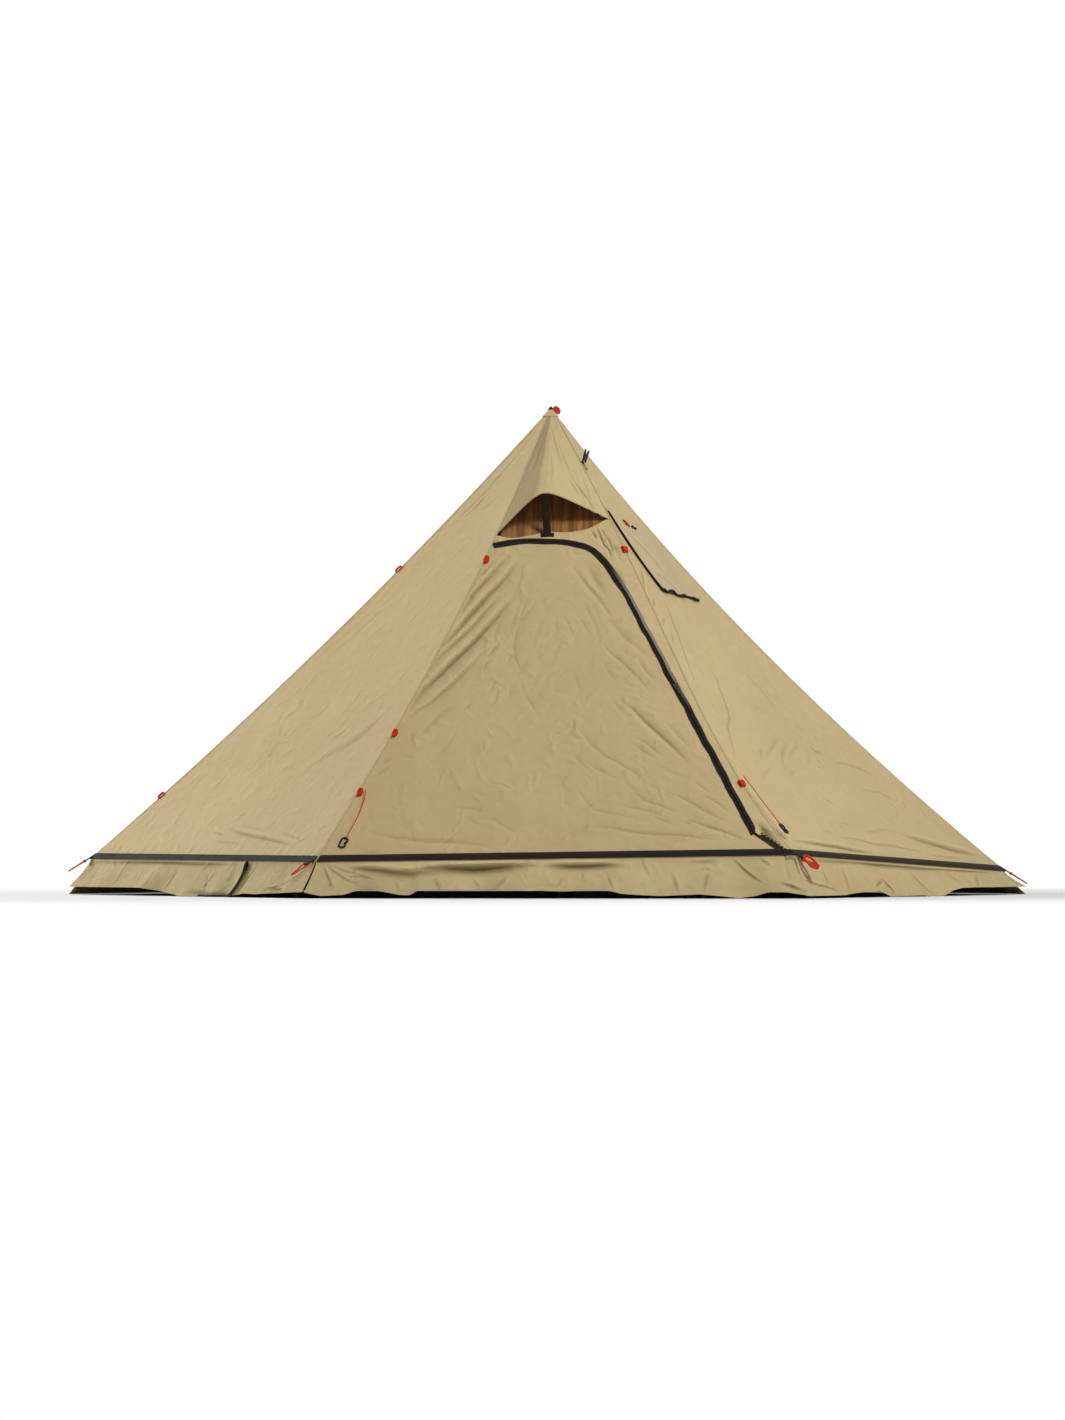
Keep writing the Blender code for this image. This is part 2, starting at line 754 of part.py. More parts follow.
def zip_frames():
    """Stations along the zip: a point, the way to the frame's side of it, and the way out."""
    route = zip_route()
    stations = []
    for index, flat in enumerate(route):
        before, after = route[max(index - 1, 0)], route[min(index + 1, len(route) - 1)]
        run = (after - before).normalized()
        aside = FRONT_ACROSS * -run.y + FRONT_UP * run.x
        stations.append((front_point(flat.x, flat.y), aside, FRONT_OUT))
    return stations


def build_zip_tapes(material):
    low, high = TOUCH_GAP, TOUCH_GAP + ZIP_TAPE_THICKNESS
    crest = TOUCH_GAP + ZIP_BEAD_HEIGHT
    half = ZIP_MESHING_GAP / 2
    tapes = []
    for name, sign in (("zip_frame_tape", 1), ("zip_door_tape", -1)):
        profile = (
            (sign * half, low), (sign * ZIP_TAPE_WIDTH, low), (sign * ZIP_TAPE_WIDTH, high),
            (sign * ZIP_BEAD_WIDTH, high), (sign * ZIP_BEAD_WIDTH * 0.8, crest), (sign * half, crest),
        )
        tapes.append(swept_solid(name, zip_frames(), profile, material))
    return tapes


def slider_frame():
    """Slider axes: across the zip, down its straight run and out, from a point between the beads."""
    bend, foot = zip_bend(), zip_foot()
    place = bend[-1].lerp(foot, SLIDER_PLACE_SHARE)
    run = (foot - bend[-1]).normalized()
    down = FRONT_ACROSS * run.x + FRONT_UP * run.y
    across = down.cross(FRONT_OUT)
    return frame_matrix(front_point(place.x, place.y), across, down, FRONT_OUT)


def slider_top():
    return TOUCH_GAP + ZIP_BEAD_HEIGHT + SLIDER_CLEARANCE + SLIDER_WALL


def build_slider(material):
    """A channel that rides over both beads, wide at its shoulders, with a bail for the pull."""
    floor = TOUCH_GAP + ZIP_TAPE_THICKNESS + SLIDER_CLEARANCE
    roof = slider_top() - SLIDER_WALL
    channel = ZIP_BEAD_WIDTH + SLIDER_CLEARANCE
    stations, profiles = [], []
    for share, extra in ((-0.5, 0.0), (-0.3, SLIDER_SHOULDER), (0.1, SLIDER_SHOULDER * 0.6), (0.5, 0.0)):
        side = channel + SLIDER_WALL + extra
        stations.append((Vector((0, share * SLIDER_LENGTH, 0)), Vector((1, 0, 0)), Vector((0, 0, 1))))
        profiles.append((
            (-side, floor), (-channel, floor), (-channel, roof), (channel, roof),
            (channel, floor), (side, floor), (side, slider_top()), (-side, slider_top()),
        ))
    body = swept_solid("zip_slider", stations, profiles, material)
    half, inside = BAIL_SPAN / 2, BAIL_SPAN / 2 - BAIL_WIRE
    base, top = slider_top() - BAIL_SINK, slider_top() + BAIL_RISE
    arch = (
        (-half, base), (-inside, base), (-inside, top - BAIL_WIRE), (inside, top - BAIL_WIRE),
        (inside, base), (half, base), (half, top), (-half, top),
    )
    sides = [
        (Vector((x, 0, 0)), Vector((0, 1, 0)), Vector((0, 0, 1)))
        for x in (-BAIL_WIDTH / 2, BAIL_WIDTH / 2)
    ]
    bail = swept_solid("slider_bail_shape", sides, arch, material)
    body.matrix_basis = slider_frame()
    bail.matrix_basis = slider_frame()
    boolean(body, bail, "UNION")
    return body


def pull_frame():
    frame = slider_frame()
    lift = slider_top() + (BAIL_RISE - BAIL_WIRE) / 2
    return frame @ Matrix.Translation((0, PULL_BAR_OFFSET, lift))


def build_pull(material):
    """A flat tab with a slot at its head; its bar lies under the slider's bail."""
    half, slot = PULL_WIDTH / 2, PULL_SLOT_WIDTH / 2
    head, foot = -PULL_BAR / 2, PULL_LENGTH - PULL_BAR / 2
    slot_end = PULL_BAR / 2 + PULL_SLOT_LENGTH
    outer = ((-half, head), (half, head), (half, foot), (-half, foot))
    inner = ((-slot, PULL_BAR / 2), (slot, PULL_BAR / 2), (slot, slot_end), (-slot, slot_end))
    frame = (Vector(), Vector((0, 0, 1)), Vector((1, 0, 0)), Vector((0, 1, 0)))
    pull = ring_prism("zip_pull", outer, inner, frame, PULL_THICKNESS, material)
    pull.matrix_basis = pull_frame()
    return pull


def prop_head():
    """The hinge of the prop, just under the hood's peak."""
    return hood_peak() - FRONT_OUT * PROP_HEAD_DROP


def build_prop(material):
    foot_out = TOUCH_GAP + PROP_PATCH_THICKNESS + TOUCH_GAP + PROP_THICKNESS / 2
    foot_up = PROP_FOOT_SHARE * FACE_LENGTH
    bend = front_point(PROP_FOOT_ACROSS, foot_up + PROP_FOOT / 2, foot_out + PROP_THICKNESS)
    toe = front_point(PROP_FOOT_ACROSS, foot_up - PROP_FOOT / 2, foot_out)
    heel = front_point(PROP_FOOT_ACROSS, foot_up + PROP_FOOT / 3, foot_out)
    head = prop_head()
    middle = head.lerp(bend, 0.5) + FRONT_UP * PROP_BOW
    path = [head, head.lerp(middle, 0.5) + FRONT_UP * PROP_BOW / 4, middle,
            middle.lerp(bend, 0.6) + FRONT_UP * PROP_BOW / 4, bend, heel, toe]
    stations = []
    for index, point in enumerate(path):
        before, after = path[max(index - 1, 0)], path[min(index + 1, len(path) - 1)]
        run = (after - before).normalized()
        stations.append((point, FRONT_ACROSS, run.cross(FRONT_ACROSS).normalized()))
    stations[-1] = (toe, FRONT_ACROSS, (toe - heel).cross(FRONT_ACROSS).normalized())
    half, thick = PROP_WIDTH / 2, PROP_THICKNESS / 2
    profile = ((-half, -thick), (half, -thick), (half, thick), (-half, thick))
    prop = swept_solid("vent_prop", stations, profile, material)
    holder = add_holder("vent_prop_hinge", frame_matrix(head, FRONT_ACROSS, FRONT_UP, FRONT_OUT))
    hold(prop, holder)
    return prop


def build_prop_patch(material):
    signs = ((-1, -1), (1, -1), (1, 1), (-1, 1))
    middle = Vector((PROP_FOOT_ACROSS, PROP_FOOT_SHARE * FACE_LENGTH))
    half = Vector((PROP_PATCH_WIDTH, PROP_PATCH_HEIGHT)) / 2
    outline = [(middle + half * Vector(sign), 0.0) for sign in signs]
    return flat_solid("vent_prop_patch", outline, TOUCH_GAP + PROP_PATCH_THICKNESS, TOUCH_GAP, material)


# Stove-pipe flap on the right front side


def flap_shares(across, down):
    corners = FLAP_CORNER_SHARES
    top = Vector(corners["top_left"]).lerp(Vector(corners["top_right"]), across)
    bottom = Vector(corners["bottom_left"]).lerp(Vector(corners["bottom_right"]), across)
    return top.lerp(bottom, down)


def on_right_front(across, down, out=0.0):
    """A point over or under the right front side, placed by the flap's own shares."""
    spot = flap_shares(across, down)
    return side_point("right_front", spot.x, spot.y) + side_normal("right_front") * out


def flap_crown(across, down):
    return FLAP_CROWN * 16 * across * (1 - across) * down * (1 - down)


def flap_cell(across, down, out):
    """A point of the flap's outer face, straight between its grid points, plus a distance out."""
    spots = []
    for share, cells in ((across, FLAP_COLUMNS), (down, FLAP_ROWS)):
        cell = min(int(share * cells), cells - 1)
        spots.append((cell / cells, (cell + 1) / cells, share * cells - cell))
    (x0, x1, fx), (y0, y1, fy) = spots

    def node(x, y):
        return on_right_front(x, y, LAP_GAP + FLAP_THICKNESS + flap_crown(x, y))

    point = node(x0, y0).lerp(node(x1, y0), fx).lerp(node(x0, y1).lerp(node(x1, y1), fx), fy)
    return point + side_normal("right_front") * out


def flap_grid(out):
    return [
        [flap_cell(column / FLAP_COLUMNS, row / FLAP_ROWS, out) for column in range(FLAP_COLUMNS + 1)]
        for row in range(FLAP_ROWS + 1)
    ]


def build_flap(material):
    return sheet_solid("stove_flap", flap_grid(0.0), flap_grid(-FLAP_THICKNESS), material)


def build_flap_binding(material):
    """Black binding down the flap's left edge and along its foot."""
    wide = (on_right_front(1, 0.5) - on_right_front(0, 0.5)).length
    tall = (on_right_front(0.5, 1) - on_right_front(0.5, 0)).length
    dx, dy = BINDING_WIDTH / wide, BINDING_WIDTH / tall
    outside, inside = [], []
    head = 1 / FLAP_ROWS / 3
    rows = [head] + [row / FLAP_ROWS for row in range(1, FLAP_ROWS)]
    for row in rows:
        outside.append((0.0, row))
        inside.append((dx, row))
    outside.append((0.0, 1.0))
    inside.append((dx, 1 - dy))
    for column in range(1, FLAP_COLUMNS + 1):
        outside.append((column / FLAP_COLUMNS, 1.0))
        inside.append((column / FLAP_COLUMNS, 1 - dy))

    def lines(out):
        return [[flap_cell(x, y, out) for x, y in line] for line in (inside, outside)]

    top = LAP_GAP + BINDING_THICKNESS
    return sheet_solid("stove_flap_binding", lines(top), lines(LAP_GAP), material)


def flap_axis():
    """The hinge seam along the flap's head: its left end and its direction."""
    start, end = on_right_front(0, 0, LAP_GAP), on_right_front(1, 0, LAP_GAP)
    return start, (end - start).normalized()


def flap_centre(out=0.0):
    return on_right_front(0.5, 0.55, out)


def disc_cutter(name, radius, material):
    """A short cylinder through the right front side under the flap's middle."""
    normal = side_normal("right_front")
    left, right = SIDES["right_front"]
    along = (corner(right) - corner(left)).normalized()
    up = normal.cross(along)
    stations = [(flap_centre(reach), along, up) for reach in (-CUT_REACH, CUT_REACH)]
    turns = [2 * math.pi * step / HOLE_SIDES for step in range(HOLE_SIDES)]
    profile = [(radius * math.cos(turn), radius * math.sin(turn)) for turn in turns]
    return swept_solid(name, stations, profile, material)


def build_stove_patch(material):
    """The heat-proof patch behind the side, with the hole for the stove pipe."""
    cells = FLAP_ROWS

    def grid(out):
        rows = []
        for row in range(cells + 1):
            down = between(PATCH_INSET_SHARE, 1 - PATCH_INSET_SHARE, row / cells)
            line = []
            for column in range(cells + 1):
                across = between(PATCH_INSET_SHARE, 1 - PATCH_INSET_SHARE, column / cells)
                line.append(on_right_front(across, down, out))
            rows.append(line)
        return rows

    face = -CLOTH - LAP_GAP
    patch = sheet_solid("stove_jack_patch", grid(face), grid(face - PATCH_THICKNESS), material)
    boolean(patch, disc_cutter("pipe_hole_shape", PIPE_HOLE_RADIUS, material), "DIFFERENCE")
    return patch


def fold_outlines(thickness):
    """The outer and inner outline of a folded tab: a flattened loop of one web."""
    outlines = []
    for inset in (0.0, TAB_WEB):
        radius = thickness / 2 - inset
        centres = (thickness / 2, TAB_LENGTH - thickness / 2)
        outline = []
        for centre, start in zip(centres, (math.pi / 2, -math.pi / 2)):
            for step in range(TAB_ARC_POINTS + 1):
                turn = start + math.pi * step / TAB_ARC_POINTS
                outline.append((centre + radius * math.cos(turn), radius * math.sin(turn)))
        outlines.append(outline)
    return outlines


def build_tab(name, frame, material, thickness=TAB_THICKNESS):
    outer, inner = fold_outlines(thickness)
    return ring_prism(name, outer, inner, frame, TAB_WIDTH, material)


def ridge_frame(ridge, share):
    """Axes of a tab that stands on a ridge: its place, along the ridge, out, and across."""
    reach = 1 / PANEL_ROWS
    along = (ridge_point(ridge, share + reach) - ridge_point(ridge, share - reach)).normalized()
    out = mitre(ridge).normalized()
    out = (out - along * out.dot(along)).normalized()
    return ridge_point(ridge, share) + out * LAP_GAP, along, out, along.cross(out)


def build_ridge_tabs(material):
    return [
        build_tab(name, ridge_frame(ridge, share), material)
        for name, (ridge, share) in RIDGE_TAB_SHARES.items()
    ]


def door_tab_frame(share):
    """Axes of a tab that lies on the door beside its hinge seam."""
    flat = front_flat(ridge_point("front_left", share)) + Vector((DOOR_TAB_INSET, 0))
    down = (corner("front_left") - APEX).normalized()
    out = down.cross(FRONT_OUT).normalized()
    if out.dot(FRONT_ACROSS) < 0:
        out = -out
    base = front_point(flat.x, flat.y, TOUCH_GAP + TAB_THICKNESS / 2)
    return base, down, out, FRONT_OUT


def build_door_tabs(material):
    return [build_tab(name, door_tab_frame(share), material) for name, share in DOOR_TAB_SHARES.items()]


def hook_points(top, down, aside):
    """An S-shaped wire hook that hangs from a point: an eye bow above and an open bow below."""
    points = []
    bow = HOOK_BOW_RADIUS
    steps = 7
    upper, lower = top + down * bow, top + down * bow * 3
    for step in range(steps + 1):
        turn = math.radians(between(-60.0, 180.0, step / steps))
        points.append(upper + aside * bow * math.cos(turn) * -1 - down * bow * math.sin(turn))
    for step in range(1, steps + 1):
        turn = math.radians(between(180.0, -60.0, step / steps))
        points.append(lower + aside * bow * math.cos(turn) * -1 + down * bow * math.sin(turn))
    return smooth_route(points, 20)


def build_left_cord(red, metal):
    """The door's own hold-back: from its lowest tab down over the door, ending in a hook."""
    base, _, out, _ = door_tab_frame(DOOR_TAB_SHARES["door_tab_lower"])
    start = front_flat(base + out * TAB_LENGTH / 2)
    lift = TOUCH_GAP + TAB_THICKNESS + TOUCH_GAP + CORD_RADIUS
    places = [start + Vector(step) for step in LEFT_CORD_ROUTE]
    lifts = (lift, lift * 0.75, CORD_RADIUS + LAP_GAP, CORD_RADIUS + LAP_GAP)
    route = [front_point(flat.x, flat.y, out_by) for flat, out_by in zip(places, lifts)]
    cord = add_tube("retainer_cord_left", smooth_route(route, CORD_POINTS), CORD_RADIUS, red)
    run = (places[-1] - places[-2]).normalized()
    down = FRONT_ACROSS * run.x + FRONT_UP * run.y
    top = route[-1] + down * (HOOK_WIRE_RADIUS + TOUCH_GAP)
    bends = hook_points(top, down, down.cross(FRONT_OUT))
    hook = add_tube("retainer_hook_left", bends, HOOK_WIRE_RADIUS, metal)
    return cord, hook


def build_right_cord(red, metal):
    """The ridge's hold-back: from its lower tab down along the right front side, ending in a hook."""
    ridge, share = RIDGE_TAB_SHARES["ridge_tab_front_right_lower"]
    base, along, out, across = ridge_frame(ridge, share)
    normal = side_normal("right_front")
    left, right = SIDES["right_front"]
    level = (corner(right) - corner(left)).normalized()
    slope = normal.cross(level)
    start = base + out * (TAB_LENGTH * 0.7) + across * (TAB_THICKNESS / 2 + TOUCH_GAP + CORD_RADIUS)
    if (start - base).dot(level) < 0:
        start = base + out * (TAB_LENGTH * 0.7) - across * (TAB_THICKNESS / 2 + TOUCH_GAP + CORD_RADIUS)
    height = (start - corner(left)).dot(normal)
    rests = (height, height * 0.72, height * 0.34, CORD_RADIUS * 4)
    route = []
    for (aside, drop), rest in zip(RIGHT_CORD_ROUTE, rests):
        point = start + level * aside + slope * drop
        route.append(point + normal * (rest - (point - corner(left)).dot(normal)))
    cord = add_tube("retainer_cord_right", smooth_route(route, CORD_POINTS), CORD_RADIUS, red)
    down = (route[-1] - route[-2]).normalized()
    down = (down - normal * down.dot(normal)).normalized()
    top = route[-1] + down * (HOOK_WIRE_RADIUS + TOUCH_GAP)
    bends = hook_points(top, down, down.cross(normal))
    hook = add_tube("retainer_hook_right", bends, HOOK_WIRE_RADIUS, metal)
    return cord, hook


# Hem webbing, corner eyes and elastic loops


def build_hem_webbing(material):
    """One black band round the five fixed sides, with an eye for an elastic loop at each corner."""
    order = ("right_front", "right_back", "back", "left_back", "left_front")
    low, high = TOUCH_GAP, TOUCH_GAP + HEM_BAND_THICKNESS
    top_row = row_shares()[-2]
    points, count = [], 0
    for place, side in enumerate(order):
        first = 0 if place == 0 else 1
        for column in range(first, PANEL_COLUMNS + 1):
            spot = column / PANEL_COLUMNS
            if place == 0 and column == 0:
                spot = SEAM_GAP / 2 / side_width(side, 1.0)
            if place == len(order) - 1 and column == PANEL_COLUMNS:
                # The band stops short of the door's hinge line, so that the door's own band passes it.
                spot = 1 - HEM_HINGE_GAP / side_width(side, 1.0)
            points += [
                side_point(side, spot, 1.0, low), side_point(side, spot, 1.0, high),
                side_point(side, spot, top_row, high), side_point(side, spot, top_row, low),
            ]
            count += 1
    faces = []
    for ring in range(count - 1):
        for step in range(4):
            after = (step + 1) % 4
            here, there = ring * 4, (ring + 1) * 4
            faces.append((here + step, here + after, there + after, there + step))
    faces += [(0, 1, 2, 3), tuple((count - 1) * 4 + step for step in range(4))]
    band = add_mesh("hem_webbing", points, faces, material)
    for ridge in RIDGE_SHARES:
        boolean(band, build_eye_shape(ridge, material), "UNION")
    return band


def eye_frame(ridge):
    """Axes of a corner eye: its root on the band, then the way out and down, level, and its own up."""
    foot = corner(ridge)
    radial = Vector((foot.x, foot.y, 0)).normalized()
    for side, ends in SIDES.items():
        # The two front corners open with the door, so their eyes stand on the next side.
        if side != "front" and ridge in ends and ridge.startswith("front"):
            reach = STRAP_WIDTH * 0.8 / side_width(side, 1.0)
            foot = side_point(side, reach if ends[0] == ridge else 1 - reach, 1.0)
            radial = Vector((side_normal(side).x, side_normal(side).y, 0)).normalized()
    level = Vector((0, 0, 1)).cross(radial)
    droop = math.radians(STRAP_DROOP_DEGREES)
    out = radial * math.cos(droop) - Vector((0, 0, 1)) * math.sin(droop)
    up = out.cross(level)
    if up.z < 0:
        up = -up
    slope = (APEX - corner(ridge)).normalized()
    root = foot + slope * HEM_BAND * 0.4 + mitre(ridge).normalized() * (TOUCH_GAP + HEM_BAND_THICKNESS / 2)
    return root, out, level, up


def build_eye_shape(ridge, material):
    """A webbing tab that ends in a round eye, as one outline with a slit-free hole cut in it."""
    root, out, level, up = eye_frame(ridge)
    centre = STRAP_LENGTH
    half = STRAP_THICKNESS / 2
    start = math.asin(half / EYE_RADIUS)
    outline = [(0.0, -half)]
    for step in range(EYE_SIDES + 1):
        turn = between(-math.pi + start, math.pi - start, step / EYE_SIDES)
        outline.append((centre + EYE_RADIUS * math.cos(turn), EYE_RADIUS * math.sin(turn)))
    outline.append((0.0, half))
    halves = (-STRAP_WIDTH / 2, STRAP_WIDTH / 2)
    stations = [(root + level * width, out, up) for width in halves]
    strap = swept_solid("corner_eye_shape_" + ridge, stations, outline, material)
    turns = [2 * math.pi * step / EYE_SIDES for step in range(EYE_SIDES)]
    hole = [(centre + EYE_HOLE_RADIUS * math.cos(turn), EYE_HOLE_RADIUS * math.sin(turn)) for turn in turns]
    stations = [(root + level * width * 2, out, up) for width in halves]
    cutter = swept_solid("corner_hole_shape_" + ridge, stations, hole, material)
    boolean(strap, cutter, "DIFFERENCE")
    return strap


def build_elastic_loop(ridge, material):
    root, out, level, up = eye_frame(ridge)
    centre = root + out * STRAP_LENGTH
    half = STRAP_WIDTH / 2
    side = half + ELASTIC_RADIUS * 3
    far = ELASTIC_LENGTH
    shape = (
        (0.0, -half * 0.6), (0.0, half * 0.6), (0.0, half), (ELASTIC_RADIUS * 3, side),
        (far * 0.45, half * 0.8), (far * 0.85, half * 0.55), (far, 0.0),
        (far * 0.85, -half * 0.55), (far * 0.45, -half * 0.8), (ELASTIC_RADIUS * 3, -side), (0.0, -half),
    )
    points = [centre + out * y + level * x for y, x in shape]
    route = smooth_route(points, ELASTIC_POINTS, True)
    return add_tube("corner_loop_" + ridge, route, ELASTIC_RADIUS, material, True)


def build_door_hem(material):
    """The black band along the foot of the door."""
    edge = door_edge(-ZIP_CLOTH_SETBACK)
    left = ridge_nodes("front_left", row_shares()[-2], 1.0)
    climb = (edge[-2] - edge[-1]) * (HEM_BAND / (edge[-2].y - edge[-1].y))
    foot = edge[-1] - Vector((ZIP_CLOTH_SETBACK, 0))
    inset = Vector((HEM_HINGE_GAP, 0))
    outline = [left[-1] + inset, foot, foot + climb, Vector((left[0].x, HEM_BAND)) + inset]
    front = TOUCH_GAP + HEM_BAND_THICKNESS
    return flat_solid("door_hem_webbing", [(flat, 0.0) for flat in outline], front, TOUCH_GAP, material)


# Snow skirts


def skirt_wave(reach, phase):
    """Ripple of a skirt at a distance along its hem, from -1 to 1."""
    turn = 2 * math.pi * (reach / SKIRT_WAVE + phase)
    return 0.65 * math.sin(turn) + 0.35 * math.sin(turn * 1.7 + phase * 9.0)


def build_skirt(name, side, start, end, material):
    """A skirt from the hem down and out to the ground, between two places across a side."""
    width = side_width(side, 1.0)
    columns = max(4, round((end - start) * width / SKIRT_STEP))
    normal = side_normal(side)
    level = Vector((normal.x, normal.y, 0)).normalized()
    phase = SKIRT_PHASE_SHARES[side]
    corner_turn = math.tan(math.pi / len(SIDES))
    outer, inner = [], []
    for row in range(SKIRT_ROWS + 1):
        down = row / SKIRT_ROWS
        outer_row, inner_row = [], []
        for column in range(columns + 1):
            spot = between(start, end, column / columns)
            # Ripples die out towards a corner, where the skirt spreads to meet its neighbour.
            near = min(spot, 1 - spot) * width
            wave = skirt_wave(spot * width, phase) * min(near / SKIRT_CALM, 1.0)
            flare = SKIRT_FLARE * down ** SKIRT_CURVE_SHARE
            spread = flare * corner_turn * SKIRT_MEET_SHARE * max(1 - near / SKIRT_CALM, 0.0)
            if column == columns and near > SKIRT_CALM:
                spread = -SKIRT_ROUND * down ** 2
            if spot < 0.5:
                spread = -spread
            top = side_point(side, spot, 1.0) - level * CLOTH / 2
            top -= Vector((0, 0, SEAM_GAP + CLOTH * normal.z))
            drop = top.z - SKIRT_LIFT * max(wave, 0.0) ** 2
            point = top + level * (flare + SKIRT_RIPPLE * wave * down) - Vector((0, 0, drop * down))
            point += Vector((0, 0, 1)).cross(level) * spread
            outer_row.append(point)
            inner_row.append(point - level * SKIRT_THICKNESS)
        outer.append(outer_row)
        inner.append(inner_row)
    return sheet_solid(name, outer, inner, material)


def build_skirts(material):
    def trimmed(side):
        edge = SKIRT_END_GAP / side_width(side, 1.0)
        return edge, 1 - edge

    for side in ("right_front", "right_back", "back", "left_back"):
        build_skirt(side + "_skirt", side, *trimmed(side), material)
    start, end = trimmed("left_front")
    gap = SKIRT_SPLIT_GAP / side_width("left_front", 1.0)
    build_skirt("left_front_skirt", "left_front", start, SKIRT_SPLIT_SHARE, material)
    build_skirt("front_left_corner_skirt", "left_front", SKIRT_SPLIT_SHARE + gap, end, material)
    start, end = trimmed("front")
    last = (DOOR_HEM_SHARE + 1) / 2 - ZIP_CLOTH_SETBACK / side_width("front", 1.0)
    return build_skirt("door_skirt", "front", start, last, material)


# Pole and apex


def tip_top():
    """The tip stops just under the inside of the cap."""
    normal = side_normal("back")
    return APEX_HEIGHT + LAP_GAP / normal.z - TIP_TOP_RADIUS * normal.xy.length / normal.z - LAP_GAP


def build_pole(metal, rubber):
    inner = POLE_RADIUS - POLE_WALL
    spigot = inner - SPIGOT_CLEARANCE
    bore = spigot - POLE_WALL
    bottom = FOOT_HEIGHT + SPIGOT_CLEARANCE
    top = APEX_HEIGHT - TIP_SHOULDER_DROP
    names = ("pole_lower_section", "pole_middle_section", "pole_upper_section")
    length = (top - bottom - SPIGOT_CLEARANCE * (len(names) - 1)) / len(names)
    for index, name in enumerate(names):
        low = bottom + index * (length + SPIGOT_CLEARANCE)
        high = low + length
        if index < len(names) - 1:
            profile = (
                (POLE_RADIUS, low), (POLE_RADIUS, high), (spigot, high), (spigot, high + SPIGOT_LENGTH),
                (bore, high + SPIGOT_LENGTH), (bore, high - SPIGOT_ROOT), (inner, high - SPIGOT_ROOT),
                (inner, low),
            )
        else:
            profile = ((POLE_RADIUS, low), (POLE_RADIUS, high), (inner, high), (inner, low))
        turned_solid(name, profile, POLE_SIDES, metal)
    plug = inner - SPIGOT_CLEARANCE
    turned_solid("pole_foot", (
        (0, 0), (FOOT_RADIUS, 0), (FOOT_RADIUS, FOOT_RIM), (POLE_RADIUS, FOOT_HEIGHT),
        (plug, FOOT_HEIGHT), (plug, FOOT_HEIGHT + FOOT_PLUG), (0, FOOT_HEIGHT + FOOT_PLUG),
    ), POLE_SIDES, rubber)
    seat = top + SPIGOT_CLEARANCE
    turned_solid("pole_tip", (
        (0, top - TIP_PLUG), (plug, top - TIP_PLUG), (plug, seat), (POLE_RADIUS, seat),
        (POLE_RADIUS, seat + TIP_COLLAR), (TIP_PIN_RADIUS, seat + TIP_COLLAR * 2),
        (TIP_PIN_RADIUS, tip_top() - TIP_PIN_RADIUS), (TIP_TOP_RADIUS, tip_top()), (0, tip_top()),
    ), POLE_SIDES, metal)


def cap_corner(ridge, out, share=CAP_SHARE):
    return ridge_point(ridge, share) + mitre(ridge) * out


def cap_top(out):
    return APEX + Vector((0, 0, out / side_normal("back").z))


def build_cap(name, share, base, thickness, material):
    """A six-sided cone over the apex, down to a share of the ridges and this far out of the panels."""
    depths = (base + thickness, base)
    points = [cap_corner(ridge, out, share) for out in depths for ridge in RIDGE_SHARES]
    points += [cap_top(out) for out in depths]
    count = len(RIDGE_SHARES)
    faces = []
    for step in range(count):
        after = (step + 1) % count
        faces.append((step, after, 2 * count))
        faces.append((count + step, count + after, 2 * count + 1))
        faces.append((step, after, count + after, count + step))
    return add_mesh(name, points, faces, material, smooth=False)


def build_apex_loop(material):
    """A small elastic loop that stands on the cap's right ridge."""
    depth = LAP_GAP + CAP_THICKNESS
    top, foot = cap_top(depth), cap_corner("right", depth)
    along = (foot - top).normalized()
    out = mitre("right").normalized()
    out = (out - along * out.dot(along)).normalized()
    rise, reach = APEX_LOOP_HEIGHT / 2 - APEX_LOOP_RADIUS, APEX_LOOP_LENGTH / 2 - APEX_LOOP_RADIUS
    points = []
    for step in range(APEX_LOOP_POINTS):
        turn = 2 * math.pi * step / APEX_LOOP_POINTS
        height = TOUCH_GAP + APEX_LOOP_RADIUS + rise * (1 - math.cos(turn))
        points.append(top.lerp(foot, 0.5) + out * height + along * reach * math.sin(turn))
    return add_tube("apex_loop", points, APEX_LOOP_RADIUS, material, True)


def surface_axes(surface, across, down, reach):
    """Axes on a surface at two shares: level across it, down it, and out of it."""
    level = (surface(across + reach, down) - surface(across - reach, down)).normalized()
    slope = surface(across, down + reach) - surface(across, down - reach)
    out = slope.cross(level).normalized()
    return level, level.cross(out), out


def build_flap_hardware(red, plastic):
    """The tie at the flap's head: a red tab and a waisted toggle."""
    def face(across, down):
        return flap_cell(across, down, 0.0)

    across, down = FLAP_TAB_SHARES
    level, slope, out = surface_axes(face, across, down + 0.5 / FLAP_ROWS, 0.4 / FLAP_ROWS)
    place = face(across, down) + out * (LAP_GAP * 1.5 + TAB_THICKNESS / 2)
    tab = build_tab("flap_tie_tab", (place, level, slope, out), red)
    half = TOGGLE_LENGTH / 2
    profile = ((0, -half), (TOGGLE_RADIUS, -half), (TOGGLE_WAIST, 0), (TOGGLE_RADIUS, half), (0, half))
    toggle = turned_solid("flap_toggle", profile, 10, plastic)
    across, down = FLAP_TOGGLE_SHARES
    level, slope, out = surface_axes(face, across, down, 0.1 / FLAP_ROWS)
    place = face(across, down) + out * (TOUCH_GAP + TOGGLE_RADIUS)
    toggle.matrix_basis = frame_matrix(place, slope, out, level)
    return tab, toggle


def clip_frame():
    """The clip's tab: its foot on the right front side, level, up the side and out of it."""
    def face(across, share):
        return side_point("right_front", across, share)

    across, share = CLIP_PLACE_SHARES
    level, down, normal = surface_axes(face, across, share, share / 4)
    return face(across, share) + normal * (LAP_GAP + CLIP_TAB_THICKNESS / 2), level, -down, normal


def clip_pivot():
    """The middle of the clip's bar, held in the end of the tab's fold."""
    base, _, up, _ = clip_frame()
    return base + up * (TAB_LENGTH - CLIP_TAB_THICKNESS / 2)


